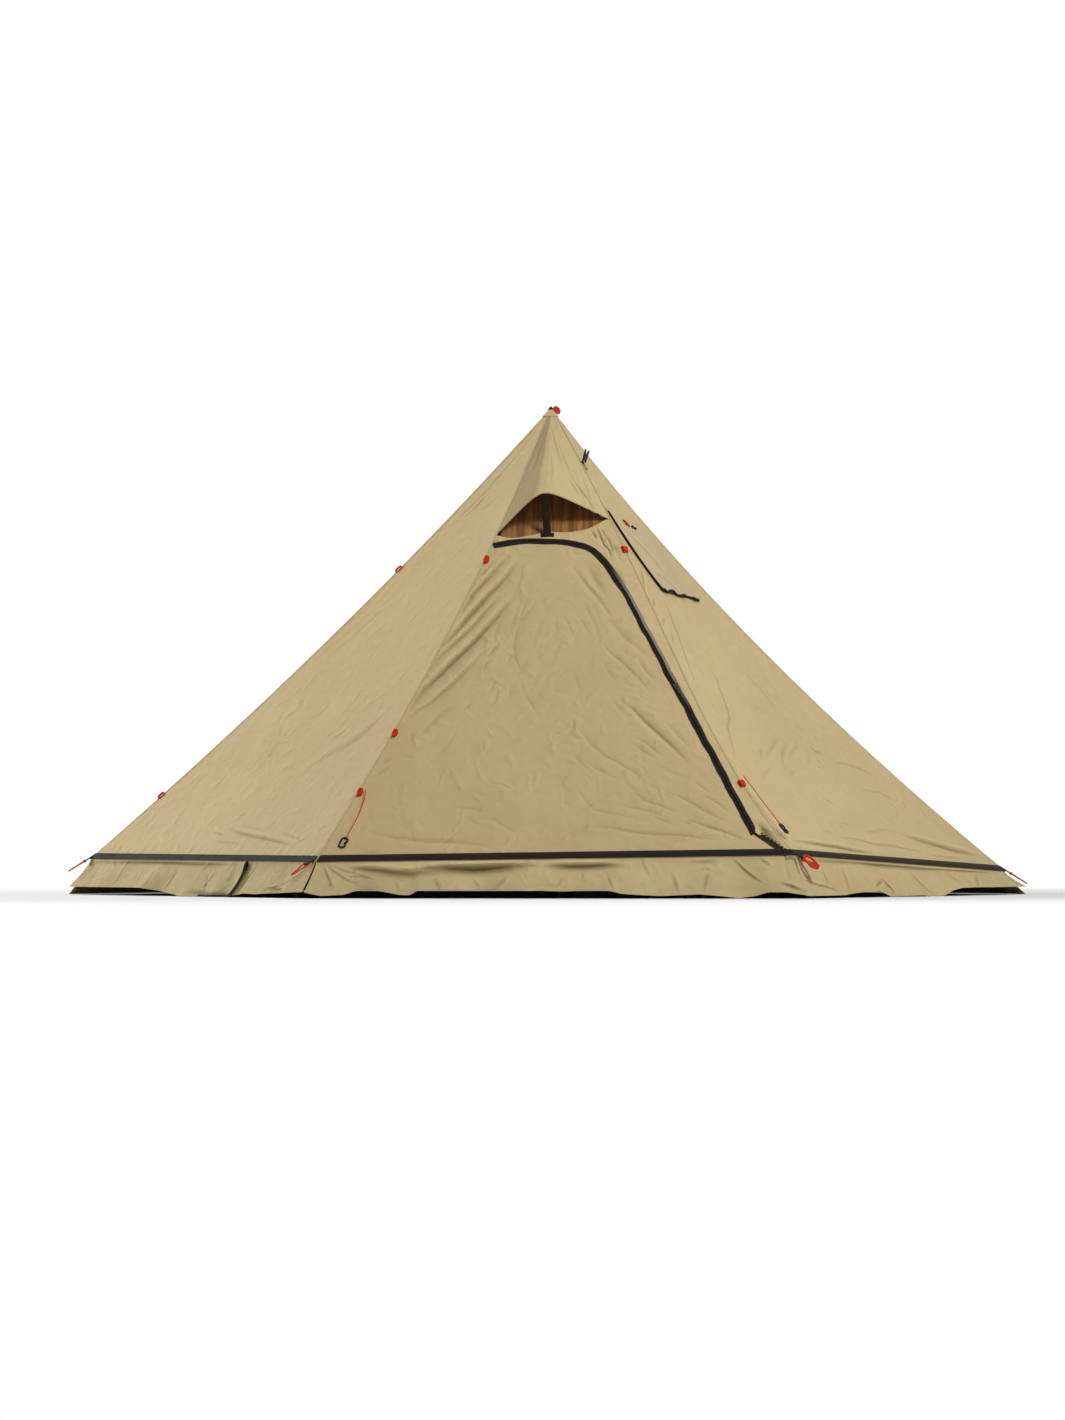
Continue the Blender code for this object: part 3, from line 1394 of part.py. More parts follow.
def mirrored(line):
    """A line of (height, width) points that ends on the middle, carried on to its mirror image."""
    return line + [(y, -x) for y, x in reversed(line[:-1])]


def build_clip(cloth, plastic):
    """A cloth tab on the side near the apex, and the plastic clip whose bar it holds."""
    base, level, up, normal = clip_frame()
    tab = build_tab("clip_tab", (base, level, up, normal), cloth, CLIP_TAB_THICKNESS)
    half, bar = CLIP_WIDTH / 2, CLIP_BAR / 2
    slim, top = half - CLIP_WALL, CLIP_SLOT + bar
    root, spread, arm = top + CLIP_WALL, CLIP_SPREAD / 2, CLIP_SPREAD / 2 - CLIP_WALL
    outline = [(-bar, half), (root - CLIP_WALL, half), (CLIP_LENGTH, spread), (CLIP_LENGTH, arm), (root, 0.0)]
    slot = [(bar, slim), (top, slim), (top, slim * 0.75), (top, slim * 0.5), (top, 0.0)]
    outline = mirrored(outline)
    slot = mirrored(slot)
    tilt = math.radians(CLIP_REST_DEGREES)
    lean = up * math.cos(tilt) + normal * math.sin(tilt)
    frame = (Vector(), lean.cross(level), lean, level)
    clip = ring_prism("flap_hanging_clip", outline, slot, frame, CLIP_BAR, plastic)
    clip.matrix_basis = Matrix.Translation(clip_pivot())
    return tab, clip


def main():
    clear_scene()
    paint = make_materials()
    for side in ("left_front", "left_back", "back", "right_back"):
        build_panel(side, side + "_panel", paint["canvas"])
    right_front = build_panel("right_front", "right_front_panel", paint["canvas"])
    boolean(right_front, disc_cutter("side_hole_shape", WINDOW_CUT_RADIUS, paint["canvas"]), "DIFFERENCE")
    build_hood(paint["canvas"])
    build_surround(paint["canvas"])
    build_mesh_window(paint["mesh"])
    build_prop(paint["webbing"])
    build_prop_patch(paint["webbing"])
    _, door_tape = build_zip_tapes(paint["tape"])
    build_hem_webbing(paint["webbing"])
    for ridge in RIDGE_SHARES:
        build_elastic_loop(ridge, paint["red"])
    build_ridge_tabs(paint["red"])
    build_right_cord(paint["red"], paint["plastic"])
    build_stove_patch(paint["patch"])
    build_clip(paint["canvas"], paint["plastic"])
    build_pole(paint["aluminium"], paint["rubber"])
    build_cap("apex_cap", CAP_SHARE, LAP_GAP, CAP_THICKNESS, paint["canvas"])
    build_cap("apex_tip", TIP_CAP_SHARE, LAP_GAP * 2 + CAP_THICKNESS, TIP_CAP_THICKNESS, paint["webbing"])
    build_apex_loop(paint["red"])
    door_skirt = build_skirts(paint["skirt"])

    hinge_foot = corner("front_left")
    hinge_up = (ridge_point("front_left", HOOD_LEFT_SHARE) - hinge_foot).normalized()
    hinge_in = hinge_up.cross(FRONT_OUT).normalized()
    hinge_frame = frame_matrix(hinge_foot, hinge_in, hinge_up.cross(hinge_in), hinge_up)
    door_hinge = add_holder("door_hinge", hinge_frame)
    door_pieces = [build_door(paint["canvas"]), build_door_hem(paint["webbing"]), door_tape, door_skirt]
    door_pieces += build_door_tabs(paint["red"])
    door_pieces += build_left_cord(paint["red"], paint["plastic"])
    door_pieces += [build_slider(paint["zinc"]), build_pull(paint["zinc"])]
    for piece in door_pieces:
        hold(piece, door_hinge)

    seam, axis = flap_axis()
    normal = side_normal("right_front")
    flap_hinge = add_holder("flap_hinge", frame_matrix(seam, axis, normal.cross(axis), normal))
    flap_pieces = [build_flap(paint["flap"]), build_flap_binding(paint["webbing"])]
    flap_pieces += build_flap_hardware(paint["red"], paint["plastic"])
    for piece in flap_pieces:
        hold(piece, flap_hinge)


main()
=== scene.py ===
import json
import math

import bmesh
import bpy
import numpy as np
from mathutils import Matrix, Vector
from mathutils.geometry import delaunay_2d_cdt

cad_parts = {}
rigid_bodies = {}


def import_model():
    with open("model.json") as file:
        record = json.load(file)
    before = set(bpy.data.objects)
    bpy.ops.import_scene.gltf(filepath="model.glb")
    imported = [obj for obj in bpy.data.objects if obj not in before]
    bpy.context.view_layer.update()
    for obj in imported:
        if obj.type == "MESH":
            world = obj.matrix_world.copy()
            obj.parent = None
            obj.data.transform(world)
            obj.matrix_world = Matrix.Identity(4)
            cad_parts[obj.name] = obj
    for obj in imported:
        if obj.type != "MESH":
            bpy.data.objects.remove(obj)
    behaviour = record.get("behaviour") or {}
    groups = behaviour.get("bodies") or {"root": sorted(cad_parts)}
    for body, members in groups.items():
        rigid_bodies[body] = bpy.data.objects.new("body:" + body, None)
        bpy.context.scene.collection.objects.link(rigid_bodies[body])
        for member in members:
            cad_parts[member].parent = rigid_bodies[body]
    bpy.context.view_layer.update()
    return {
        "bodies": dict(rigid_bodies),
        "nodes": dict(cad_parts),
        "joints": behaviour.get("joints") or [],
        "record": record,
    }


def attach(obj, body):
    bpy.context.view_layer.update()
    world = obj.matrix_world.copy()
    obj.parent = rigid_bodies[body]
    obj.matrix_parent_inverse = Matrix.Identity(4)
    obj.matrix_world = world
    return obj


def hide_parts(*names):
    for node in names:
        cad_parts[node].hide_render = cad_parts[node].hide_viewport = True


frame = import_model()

# Sizes of the tent in metres, as its part has them. X is across, Y is away from the camera, Z is up.

APEX = np.array((0.0, 0.0, 1.70))
CORNER_RADIUS = 1.60
HEM_HEIGHT = 0.12
RIDGE_SAG = 0.05
PANEL_SAG = 0.012
CLOTH = 0.0024
TOUCH_GAP = 0.0004
LAP_GAP = 0.0008
SEAM_GAP = 0.0006
SEAM_INSETS = (0.0022, 0.0070)
HEM_BAND = 0.028
HEM_BAND_THICKNESS = 0.0020
HEM_RETURN = 0.033
HEM_HINGE_GAP = 0.005
RIDGE_LENGTH = 2.08
PANEL_TOP_SHARE = 0.011

# Each ridge: bearing in degrees, corner distance, hem height, sag, and where it sags the most
RIDGES = {
    "left": (180.0, 1.006, 1.025, 1.0, 1),
    "front_left": (240.0, 0.966, 0.983, 1.0, 1),
    "front_right": (300.0, 0.994, 1.167, 1.04, 3),
    "right": (360.0, 0.991, 0.667, 1.84, 1),
    "back_right": (420.0, 1.0, 1.0, 1.2, 1),
    "back_left": (480.0, 1.0, 1.0, 1.2, 1),
}
SIDES = {
    "left_front": ("left", "front_left"),
    "front": ("front_left", "front_right"),
    "right_front": ("front_right", "right"),
    "right_back": ("right", "back_right"),
    "back": ("back_right", "back_left"),
    "left_back": ("back_left", "left"),
}

HOOD_LEFT_SHARE = 0.290
HOOD_RIGHT_SHARE = 0.262
HOOD_PEAK = (-0.040, 0.7455, 0.12)
HOOD_ROUNDING = 0.2
HOOD_FLAT_SHARE = 0.14
HOOD_SPAN = (0.34, 0.52)
NET_MARGIN = 0.010
WINDOW_EDGE = (
    (-0.261, 0.7050), (-0.198, 0.6985), (-0.115, 0.704), (-0.038, 0.711),
    (0.057, 0.710), (0.144, 0.7187), (0.214, 0.7375),
)
WINDOW_TOP_SHARE = 0.868
ZIP_BEND = (
    (-0.276, 0.6815), (-0.19, 0.6885), (-0.089, 0.6905), (0.0, 0.6885), (0.080, 0.6825),
    (0.145, 0.6705), (0.207, 0.6430), (0.259, 0.6045), (0.314, 0.5588),
)
ZIP_FOOT = (0.835, 0.0448)
DOOR_HEM_SHARE = 0.962
ZIP_CLOTH_SETBACK = 0.003
# A zip tape's section, and its rows of stitches: aside from the middle line, and out
ZIP_PROFILE = (
    (0.0006, 0.0), (0.0006, 0.0014), (0.0052, 0.0014), (0.0062, 0.0009),
    (0.0118, 0.0013), (0.0129, 0.0009), (0.0129, 0.0),
)
ZIP_SEAMS = ((0.0088, 0.0012), (0.0118, 0.0013))
PROP_FOOT = (-0.032, 0.7036)
PROP_WIDTH = 0.026
PROP_THICKNESS = 0.0024
PROP_PATCH_WIDTH = 0.046
PROP_PATCH_HEIGHT = 0.020
PROP_PATCH_THICKNESS = 0.0012
FLAP_CORNERS = {
    "top_left": (0.06, 0.232), "top_right": (0.89, 0.271),
    "bottom_left": (0.314, 0.411), "bottom_right": (0.765, 0.422),
}
FLAP_CROWN = 0.016
FLAP_THICKNESS = 0.0022
# The binding's section, inward from the flap's edge and out of it
BINDING_PROFILE = (
    (-0.0012, -0.0030), (-0.0014, 0.0012), (0.0, 0.0024), (0.0048, 0.0020), (0.0060, 0.0008), (0.0060, -0.0030),
)
# The heat-proof patch's rings: radius, and how square each one is
PATCH_RINGS = ((0.052, 0.0), (0.056, 0.0), (0.080, 0.25), (0.110, 0.8), (0.130, 1.0))
PIPE_OPENING_RADIUS = 0.085
TAB_LENGTH = 0.030
TAB_WIDTH = 0.018
TAB_THICKNESS = 0.007
RIDGE_LOOP_THICKNESS = 0.016
DOOR_LOOP_THICKNESS = 0.017
TAB_WEB_SHARE = 0.42
RIDGE_TABS = {
    "ridge_tab_left_upper": ("left", 0.352),
    "ridge_tab_left_lower": ("left", 0.853),
    "ridge_tab_front_right_upper": ("front_right", 0.325),
    "ridge_tab_front_right_lower": ("front_right", 0.842),
    "ridge_tab_back_right_upper": ("back_right", 0.352),
    "ridge_tab_back_right_lower": ("back_right", 0.853),
    "ridge_tab_back_left_upper": ("back_left", 0.352),
    "ridge_tab_back_left_lower": ("back_left", 0.853),
}
DOOR_TABS = {"door_tab_upper": 0.345, "door_tab_middle": 0.725, "door_tab_lower": 0.850}
DOOR_TAB_INSET = 0.006
CORD_RADIUS = 0.0015
HOOK_WIRE_RADIUS = 0.0016
HOOK_BOW_RADIUS = 0.0105
HOOK_COATING = 2.0
LEFT_CORD_ROUTE = ((0.0, 0.0), (-0.006, -0.050), (-0.025, -0.115), (-0.060, -0.205))
RIGHT_CORD_ROUTE = ((0.0, 0.0), (-0.004, -0.050), (-0.017, -0.120), (-0.038, -0.226))
CORD_POINTS = 22
STRAP_LENGTH = 0.030
STRAP_WIDTH = 0.024
STRAP_DROOP_DEGREES = 32.0
EYE_RADIUS = 0.0055
ELASTIC_RADIUS = 0.0021
ELASTIC_LENGTH = 0.066
SKIRT_FLARE = 0.070
SKIRT_CALM = 0.16
SKIRT_SPLIT_SHARE = 0.71
SKIRT_CLOTH = 0.0020
SKIRT_DEPTH = 0.14
SKIRT_LIFT_SHARE = 0.72
SKIRT_LIFT_LIMITS = (0.0007, 0.027)
BOUND_SHARE = 0.80

# Vectors and routes

UP = np.array((0, 0, 1))


def unit(vector):
    vector = np.asarray(vector, float)
    return vector / np.linalg.norm(vector, axis=-1, keepdims=True)


def blend(first, second, share):
    share = np.asarray(share, float)[..., None]
    return np.asarray(first) * (1 - share) + np.asarray(second) * share


def smooth(value):
    value = np.clip(value, 0.0, 1.0)
    return value * value * (3 - 2 * value)


def reach_along(route):
    """How far along its route each point lies."""
    return np.r_[0, np.cumsum(np.linalg.norm(np.diff(route, axis=0), axis=1))]


def length_of(route):
    return float(np.linalg.norm(np.diff(route, axis=0), axis=1).sum())


def even(points, count, closed=False):
    """Points at equal distances along a polyline."""
    reach = reach_along(points)
    wanted = np.linspace(0, reach[-1], count, endpoint=not closed)
    return np.stack([np.interp(wanted, reach, column) for column in points.T], 1)


def curve_through(points, count, closed=False):
    """Evenly spaced points on the smooth curve through the given ones."""
    points = np.asarray(points, float)
    if closed:
        padded = np.vstack((points[-1:], points, points[:2]))
    else:
        padded = np.vstack((2 * points[:1] - points[1:2], points, 2 * points[-1:] - points[-2:-1]))
    t = np.linspace(0, 1, 24, endpoint=False)[:, None]
    fine = [
        0.5 * (2 * b + (c - a) * t + (2 * a - 5 * b + 4 * c - d) * t**2 + (3 * b - a - 3 * c + d) * t**3)
        for a, b, c, d in zip(padded, padded[1:], padded[2:], padded[3:])
    ]
    return even(np.vstack(fine + [padded[-2:-1]]), count, closed)


# The tent's surface


def corner(name):
    bearing, distance, height, _, _ = RIDGES[name]
    turn = math.radians(bearing)
    reach = CORNER_RADIUS * distance
    return np.array((reach * math.cos(turn), reach * math.sin(turn), HEM_HEIGHT * height))


def ridge(name, share):
    """Points down a ridge: the two front ones are drawn in across the front face."""
    share = np.asarray(share, float)
    _, _, _, sag, power = RIDGES[name]
    foot = corner(name)
    other = {"front_left": "front_right", "front_right": "front_left"}.get(name)
    inward = unit(corner(other) - foot) if other else unit((-foot[0], -foot[1], 0))
    deepest = power / (power + 1)
    depth = share**power * (1 - share) / (deepest**power * (1 - deepest))
    return blend(APEX, foot, share) + inward * (RIDGE_SAG * sag * depth)[..., None]


def facing_of(side):
    left, right = SIDES[side]
    return unit(np.cross(corner(right) - corner(left), APEX - corner(left)))


def level_out(side):
    """The level way straight out from a side."""
    facing = facing_of(side)
    return unit((facing[0], facing[1], 0))


def width_of(side):
    left, right = SIDES[side]
    return float(np.linalg.norm(corner(right) - corner(left)))


def width_at(side, share):
    """How wide a side is at shares down from the apex."""
    left, right = SIDES[side]
    return np.linalg.norm(ridge(right, share) - ridge(left, share), axis=-1)


def mitre(name):
    """The outward vector at a ridge that thickens both of its panels alike."""
    first, second = (facing_of(side) for side, ends in SIDES.items() if name in ends)
    return (first + second) / (1 + first @ second)


def on_side(side, across, share, out=0.0):
    """Points of a side: across from its left ridge to its right one, share down from the apex."""
    left, right = SIDES[side]
    facing = facing_of(side)
    across, share = np.broadcast_arrays(np.asarray(across, float), np.asarray(share, float))
    outward = facing + blend(mitre(left) - facing, mitre(right) - facing, across)
    points = blend(ridge(left, share), ridge(right, share), across)
    if side != "front":
        belly = PANEL_SAG * 4 * across * (1 - across) * np.sin(math.pi * share)
        points = points - facing * belly[..., None]
    return points + outward * np.asarray(out, float)[..., None]


def side_axes(side):
    """Level and down along a side, for its flat map in metres."""
    left, right = SIDES[side]
    level = unit(corner(right) - corner(left))
    return level, np.cross(level, facing_of(side))


def side_map(side, points):
    level, down = side_axes(side)
    rest = points - APEX
    return np.stack((rest @ level, rest @ down), -1)


FRONT_ACROSS = unit(corner("front_right") - corner("front_left"))
FRONT_OUT = facing_of("front")
FRONT_UP = np.cross(FRONT_OUT, FRONT_ACROSS)
FRONT_ORIGIN = (corner("front_left") + corner("front_right")) / 2
HALF_HEM = np.linalg.norm(corner("front_right") - corner("front_left")) / 2
FACE_LENGTH = (APEX - FRONT_ORIGIN) @ FRONT_UP
FRONT_SCALE = np.array((HALF_HEM, FACE_LENGTH))


def front(flat, out=0.0):
    """Points of the front face from across and up, in metres."""
    flat = np.asarray(flat, float)
    out = np.broadcast_to(np.asarray(out, float), flat.shape[:-1])[..., None]
    return FRONT_ORIGIN + flat[..., :1] * FRONT_ACROSS + flat[..., 1:] * FRONT_UP + out * FRONT_OUT


def front_flat(points):
    rest = points - FRONT_ORIGIN
    return np.stack((rest @ FRONT_ACROSS, rest @ FRONT_UP), -1)


def aside_of(route):
    """The way to the left of a flat route at each of its points."""
    run = unit(np.gradient(route, axis=0))
    return np.stack((-run[:, 1], run[:, 0]), 1)


def zip_route(count=260):
    bend = curve_through(np.array(ZIP_BEND) * FRONT_SCALE, 60)
    foot = np.array([ZIP_FOOT]) * FRONT_SCALE
    route = even(np.vstack((bend, foot)), count)
    # The real tape lies in small waves.
    reach = np.linspace(0, 1, count)
    sway = 0.0010 * np.sin(reach * 41) + 0.0008 * np.sin(reach * 97 + 1)
    return route + aside_of(route) * (sway * smooth(reach * 12) * smooth((1 - reach) * 12))[:, None]


def door_edge(setback):
    """The line between door and surround, set back to one side: the zip, then on to the hem."""
    hem = np.array([(DOOR_HEM_SHARE * HALF_HEM + 1.3 * setback, 0.0)])
    route = zip_route()
    return np.vstack((route + aside_of(route) * setback, hem))


# Folds in the cloth


def fold_depth(flat, line, width):
    """A crease along a flat line: a valley, a low crest beside it, and its mark, painted shade above 0 and a painted
    highlight below.
    """
    nearest = np.full(flat.shape[:-1], np.inf)
    aside, along = np.zeros_like(nearest), np.zeros_like(nearest)
    lengths = np.linalg.norm(np.diff(line, axis=0), axis=1)
    before = 0.0
    for start, end, length in zip(line, line[1:], lengths):
        run = (end - start) / length
        rest = flat - start
        reach = np.clip(rest @ run, 0, length)
        off = rest - reach[..., None] * run
        gap = np.linalg.norm(off, axis=-1)
        turn = run[0] * off[..., 1] - run[1] * off[..., 0]
        closer = gap < nearest
        nearest = np.where(closer, gap, nearest)
        aside = np.where(closer, np.where(turn < 0, -gap, gap), aside)
        along = np.where(closer, (before + reach) / lengths.sum(), along)
        before += length
    fade = np.sin(math.pi * np.clip(along, 0.02, 0.98)) ** 0.6
    spread = aside / (width * (0.55 + 0.45 * fade))
    valley = np.exp(-2.2 * np.abs(spread) ** 1.35)
    crest = np.exp(-2.0 * (spread + 1.1) ** 2)
    light = 0.55 * np.exp(-4.0 * (spread + 1.05) ** 2)
    return FOLD_STEEPNESS * width * fade * (0.8 * crest - valley), fade * (np.exp(-2.8 * spread ** 2) - light)


def ripple(flat, seed, size, depth, stretch=(1.0, 1.0)):
    """Soft random unevenness about so large and so deep."""
    chance = np.random.default_rng(seed)
    total = np.zeros(flat.shape[:-1])
    place = flat / np.array(stretch)
    for _ in range(RIPPLE_WAVES):
        turn, phase, bend = chance.uniform(0, 2 * math.pi, 3)
        wave = size * chance.uniform(0.55, 1.9)
        way = np.array((math.cos(turn), math.sin(turn))) * 2 * math.pi / wave
        total += np.sin(place @ way + phase + 0.6 * np.sin(place[..., 0] * 2.2 / size + bend)) * wave / size
    return total * depth / math.sqrt(RIPPLE_WAVES)


def gathers(place, wave, wander, sway):
    """Puckers along a seam, from -1 to 1: waves in radians a metre that wander a little."""
    return np.sin(place * wave + sway * np.sin(place * wander))


def hump(value, middle, spread):
    """1 at the middle, falling off softly to both sides."""
    return np.exp(-((value - middle) / spread) ** 2)


# Creases, as the photograph shows them: strength in tenths, width by WIDTHS_A_METRE, then a line through places
# (across, share down) of a side in thousandths. They are measured on the enlarged photograph.
LEFT_FRONT_FOLDS = (
    (4, 39, 661, 793, 697, 771, 751, 753, 807, 736, 848, 707, 868, 688),
    (4, 10, 243, 408, 128, 459, 88, 508, 64, 559), (4, 10, 284, 424, 196, 470, 175, 517, 138, 559),
    (3, 10, 233, 446, 172, 492, 139, 543, 122, 576), (3, 10, 389, 467, 342, 497, 305, 539),
    (3, 13, 74, 639, 72, 681), (7, 10, 447, 938, 507, 945),
    (9, 16, 500, 931, 587, 942, 694, 951, 790, 959, 853, 965), (5, 11, 755, 938, 869, 952),
    (3, 11, 563, 925, 664, 933), (4, 11, 468, 958, 644, 964), (5, 10, -4, 987, 47, 984),
    (3, 13, 232, 842, 231, 824), (4, 13, 422, 228, 634, 197), (4, 13, 280, 223, 333, 197),
    (5, 16, 428, 37, 381, 99, 303, 152, 233, 205, 136, 258),
)
RIGHT_FRONT_FOLDS = (
    (9, 8, 302, 414, 206, 483, 143, 541, 91, 597, 66, 651),
    (8, 11, 332, 565, 319, 597, 265, 639, 203, 694, 140, 719, 90, 761, 48, 799), (3, 10, 127, 663, 126, 694),
    (3, 16, 597, 569, 646, 606, 641, 644, 616, 677), (11, 10, 204, 353, -2, 435, -6, 451),
    (11, 8, 108, 436, 21, 465), (11, 8, 60, 470, 3, 486), (10, 8, 117, 480, 21, 503), (6, 11, 113, 507, 50, 546),
    (6, 13, 457, 727, 352, 755, 272, 778), (7, 11, 493, 738, 406, 761, 346, 786, 324, 804),
    (5, 11, 570, 729, 520, 748, 421, 774), (5, 10, 298, 751, 218, 787), (4, 11, 257, 803, 175, 821, 129, 834),
    (4, 11, 395, 801, 321, 819), (5, 10, 594, 754, 490, 791), (8, 11, 639, 737, 642, 753, 671, 754),
    (4, 11, 678, 693, 689, 703), (4, 11, 743, 708, 717, 731), (5, 15, 694, 770, 782, 776, 835, 786, 878, 800),
    (5, 13, 684, 834, 796, 835, 825, 845, 877, 856), (5, 11, 419, 859, 446, 871), (4, 10, 386, 914, 431, 921),
    (4, 13, 459, 927, 498, 932, 598, 922, 642, 929), (5, 11, 249, 937, 293, 941),
    (7, 13, 310, 949, 390, 951, 465, 961, 545, 960, 613, 967, 666, 971),
    (11, 23, 658, 933, 728, 941, 792, 950, 850, 959, 914, 963, 962, 968),
    (13, 16, 56, 966, 143, 969, 216, 972, 313, 977, 375, 979, 427, 984),
    (12, 13, 31, 979, 98, 985, 173, 987, 228, 989), (6, 13, 681, 973, 831, 979),
)
PLAIN_FOLDS = (
    (6, 16, 120, 200, 90, 370, 60, 550, 50, 740), (4, 14, 360, 360, 250, 460, 150, 600),
    (4, 14, 880, 380, 800, 500, 700, 600), (4, 14, 300, 620, 200, 700, 90, 800),
    (5, 14, 720, 680, 840, 760, 930, 860), (4, 12, 420, 740, 340, 800), (4, 12, 580, 760, 500, 810),
    (7, 15, 60, 955, 250, 940, 420, 960), (7, 15, 550, 950, 750, 935, 940, 960),
)
# Creases of the door and its surround, in thousandths of the half hem across and of the face length up
DOOR_FOLDS = (
    (10, 16, -207, 660, -258, 633, -314, 600, -361, 573, -386, 549, -411, 531),
    (6, 13, -263, 651, -302, 629, -345, 607, -361, 589),
    (12, 20, -176, 644, -210, 619, -244, 597, -291, 573, -334, 548, -385, 520, -427, 494, -469, 467, -498, 450),
    (9, 15, -244, 575, -273, 552, -316, 528, -362, 502, -413, 476, -468, 450, -514, 426, -543, 404),
    (13, 21, -187, 563, -226, 543, -259, 521, -298, 499, -344, 473, -391, 449, -441, 425, -496, 397, -563, 365, -592,
     343, -616, 320),
    (8, 15, -313, 446, -355, 420, -389, 403, -439, 377, -494, 354, -531, 336, -578, 322, -632, 302),
    (4, 10, -179, 572, -153, 605, -145, 637),
    (6, 8, -156, 509, -172, 483, -180, 458, -175, 430, -153, 406, -170, 386),
    (4, 10, -83, 555, -117, 533, -155, 507), (5, 8, -188, 439, -205, 421),
    (6, 10, -240, 463, -270, 448, -291, 433), (5, 10, -295, 424, -311, 398),
    (4, 13, -429, 333, -492, 310, -546, 278, -583, 259), (4, 10, -352, 335, -394, 320),
    (4, 10, -148, 366, -117, 342, -96, 322, -65, 300), (4, 10, -191, 369, -194, 343),
    (7, 16, 72, 633, 133, 590, 177, 565, 211, 540, 237, 517), (5, 26, 133, 637, 168, 605, 216, 564),
    (4, 8, 26, 526, 60, 494, 86, 470), (4, 10, 108, 512, 147, 480),
    (7, 13, 198, 462, 233, 440, 305, 409, 369, 375, 403, 351), (6, 13, 348, 428, 387, 399, 429, 375),
    (4, 20, 224, 517, 293, 475, 361, 446, 404, 425),
    (10, 18, 279, 335, 335, 313, 385, 286, 440, 260, 495, 234, 562, 199), (4, 10, 237, 339, 279, 311, 339, 295),
    (5, 13, 470, 286, 521, 257, 575, 229), (5, 10, 317, 244, 372, 224, 427, 207),
    (5, 10, 338, 254, 385, 241, 427, 224, 452, 213),
    (5, 11, 75, 291, 143, 245, 211, 215, 279, 197, 346, 175, 405, 150, 463, 139),
    (7, 11, 463, 139, 522, 128, 580, 112, 622, 97, 680, 82, 730, 71),
    (6, 10, 325, 144, 375, 120, 446, 109, 513, 94), (5, 10, 266, 110, 333, 104, 387, 99, 446, 88),
    (5, 10, 412, 86, 491, 69), (9, 13, 563, 77, 629, 64, 700, 53, 800, 33), (5, 10, 542, 73, 584, 66),
    (6, 15, 136, 65, 198, 65, 265, 60, 336, 53, 445, 48, 533, 46, 612, 39, 700, 34),
    (4, 10, 93, 148, 127, 122, 165, 101, 245, 92, 316, 85, 362, 78), (4, 8, 236, 221, 279, 195),
    (4, 8, 67, 229, 118, 194), (4, 10, 118, 207, 177, 187, 274, 163), (6, 10, 631, 127, 681, 112, 731, 92),
    (5, 10, 586, 159, 652, 133), (3, 13, 414, 200, 494, 179, 573, 163), (3, 10, -732, 204, -687, 217),
    (3, 13, -765, 177, -698, 198), (5, 20, -765, 59, -664, 48, -530, 41, -395, 38, -261, 28),
    (3, 13, -441, 113, -356, 109, -264, 99), (3, 13, -351, 87, -263, 87, -195, 65, -153, 53),
    (6, 10, -809, 18, -704, 17), (3, 10, -418, 275, -446, 247, -484, 224), (4, 6, -150, 560, -215, 470),
    (4, 6, -110, 590, -150, 520, -160, 480), (3, 6, -60, 520, -100, 450), (4, 6, -230, 520, -275, 470),
    (3, 6, 18, 468, -20, 410), (4, 6, -120, 430, -165, 380), (3, 6, -70, 400, -110, 350),
    (4, 6, -240, 400, -290, 350), (3, 6, -200, 620, -245, 590), (4, 6, 110, 560, 170, 500, 200, 440),
    (3, 6, 150, 560, 205, 490), (3, 6, 60, 420, 110, 350), (4, 6, 200, 420, 260, 370), (3, 6, 300, 200, 360, 170),
)
SURROUND_FOLDS = (
    (16, 9, 168, 730, 190, 702, 207, 679, 229, 668, 242, 643), (16, 8, 150, 716, 181, 689),
    (14, 7, 190, 722, 232, 684), (14, 8, 222, 700, 250, 660), (8, 10, 238, 693, 264, 663, 285, 638),
    (5, 10, 259, 681, 281, 656), (12, 12, 250, 627, 276, 606, 302, 588), (16, 30, 850, 70, 900, 34, 950, 8),
)
# Creases of the hood, in thousandths across it and down it
HOOD_FOLDS = (
    (5, 12, 560, 120, 640, 330, 700, 620), (4, 10, 700, 300, 760, 560, 800, 800),
    (8, 9, 780, 700, 840, 830, 900, 960), (6, 8, 740, 720, 800, 900), (-5, 10, 470, 120, 400, 360),
    (6, 12, 300, 200, 250, 420, 240, 640), (5, 9, 420, 420, 440, 600, 400, 800),
    (4, 9, 560, 500, 570, 700, 560, 880), (4, 8, 130, 500, 180, 700, 170, 900),
)
# Creases of the pipe flap, in thousandths across it and down it
FLAP_FOLDS = (
    (5, 16, 50, 100, 250, 420, 420, 800), (4, 14, 930, 120, 800, 450, 680, 780),
    (3, 14, 300, 80, 380, 360, 440, 600), (4, 14, 140, 750, 350, 860, 550, 950),
)
FOLD_STEEPNESS = 0.33
WIDTHS_A_METRE = 1200
RIPPLE_WAVES = 16
CREASE_PITCH = 0.006
CREASE_STEPS = (-1.5, -0.8, -0.35, 0.0, 0.35, 0.8)


def crease_lines(folds, lay):
    """Creases as (strength, width, flat line), from their thousandths and what lays them flat."""
    return [(fold[0] / 10, fold[1] / WIDTHS_A_METRE, lay(np.reshape(fold[2:], (-1, 2)) / 1000)) for fold in folds]


def folded(flat, lines, seed):
    """How far creased cloth stands out of its plane, and its mark: painted shade in a crease, a painted highlight on
    a crest.
    """
    rise = ripple(flat, seed, 0.30, 0.0014) + ripple(flat, seed + 1, 0.09, 0.0004, (0.8, 1.5))
    mark = np.zeros_like(rise)
    for strength, width, line in lines:
        up, dark = fold_depth(flat, line, width)
        rise = rise + up * strength
        dark = dark * min(strength, 1.6)
        mark = np.where(np.abs(dark) > np.abs(mark), dark, mark)
    return rise, mark


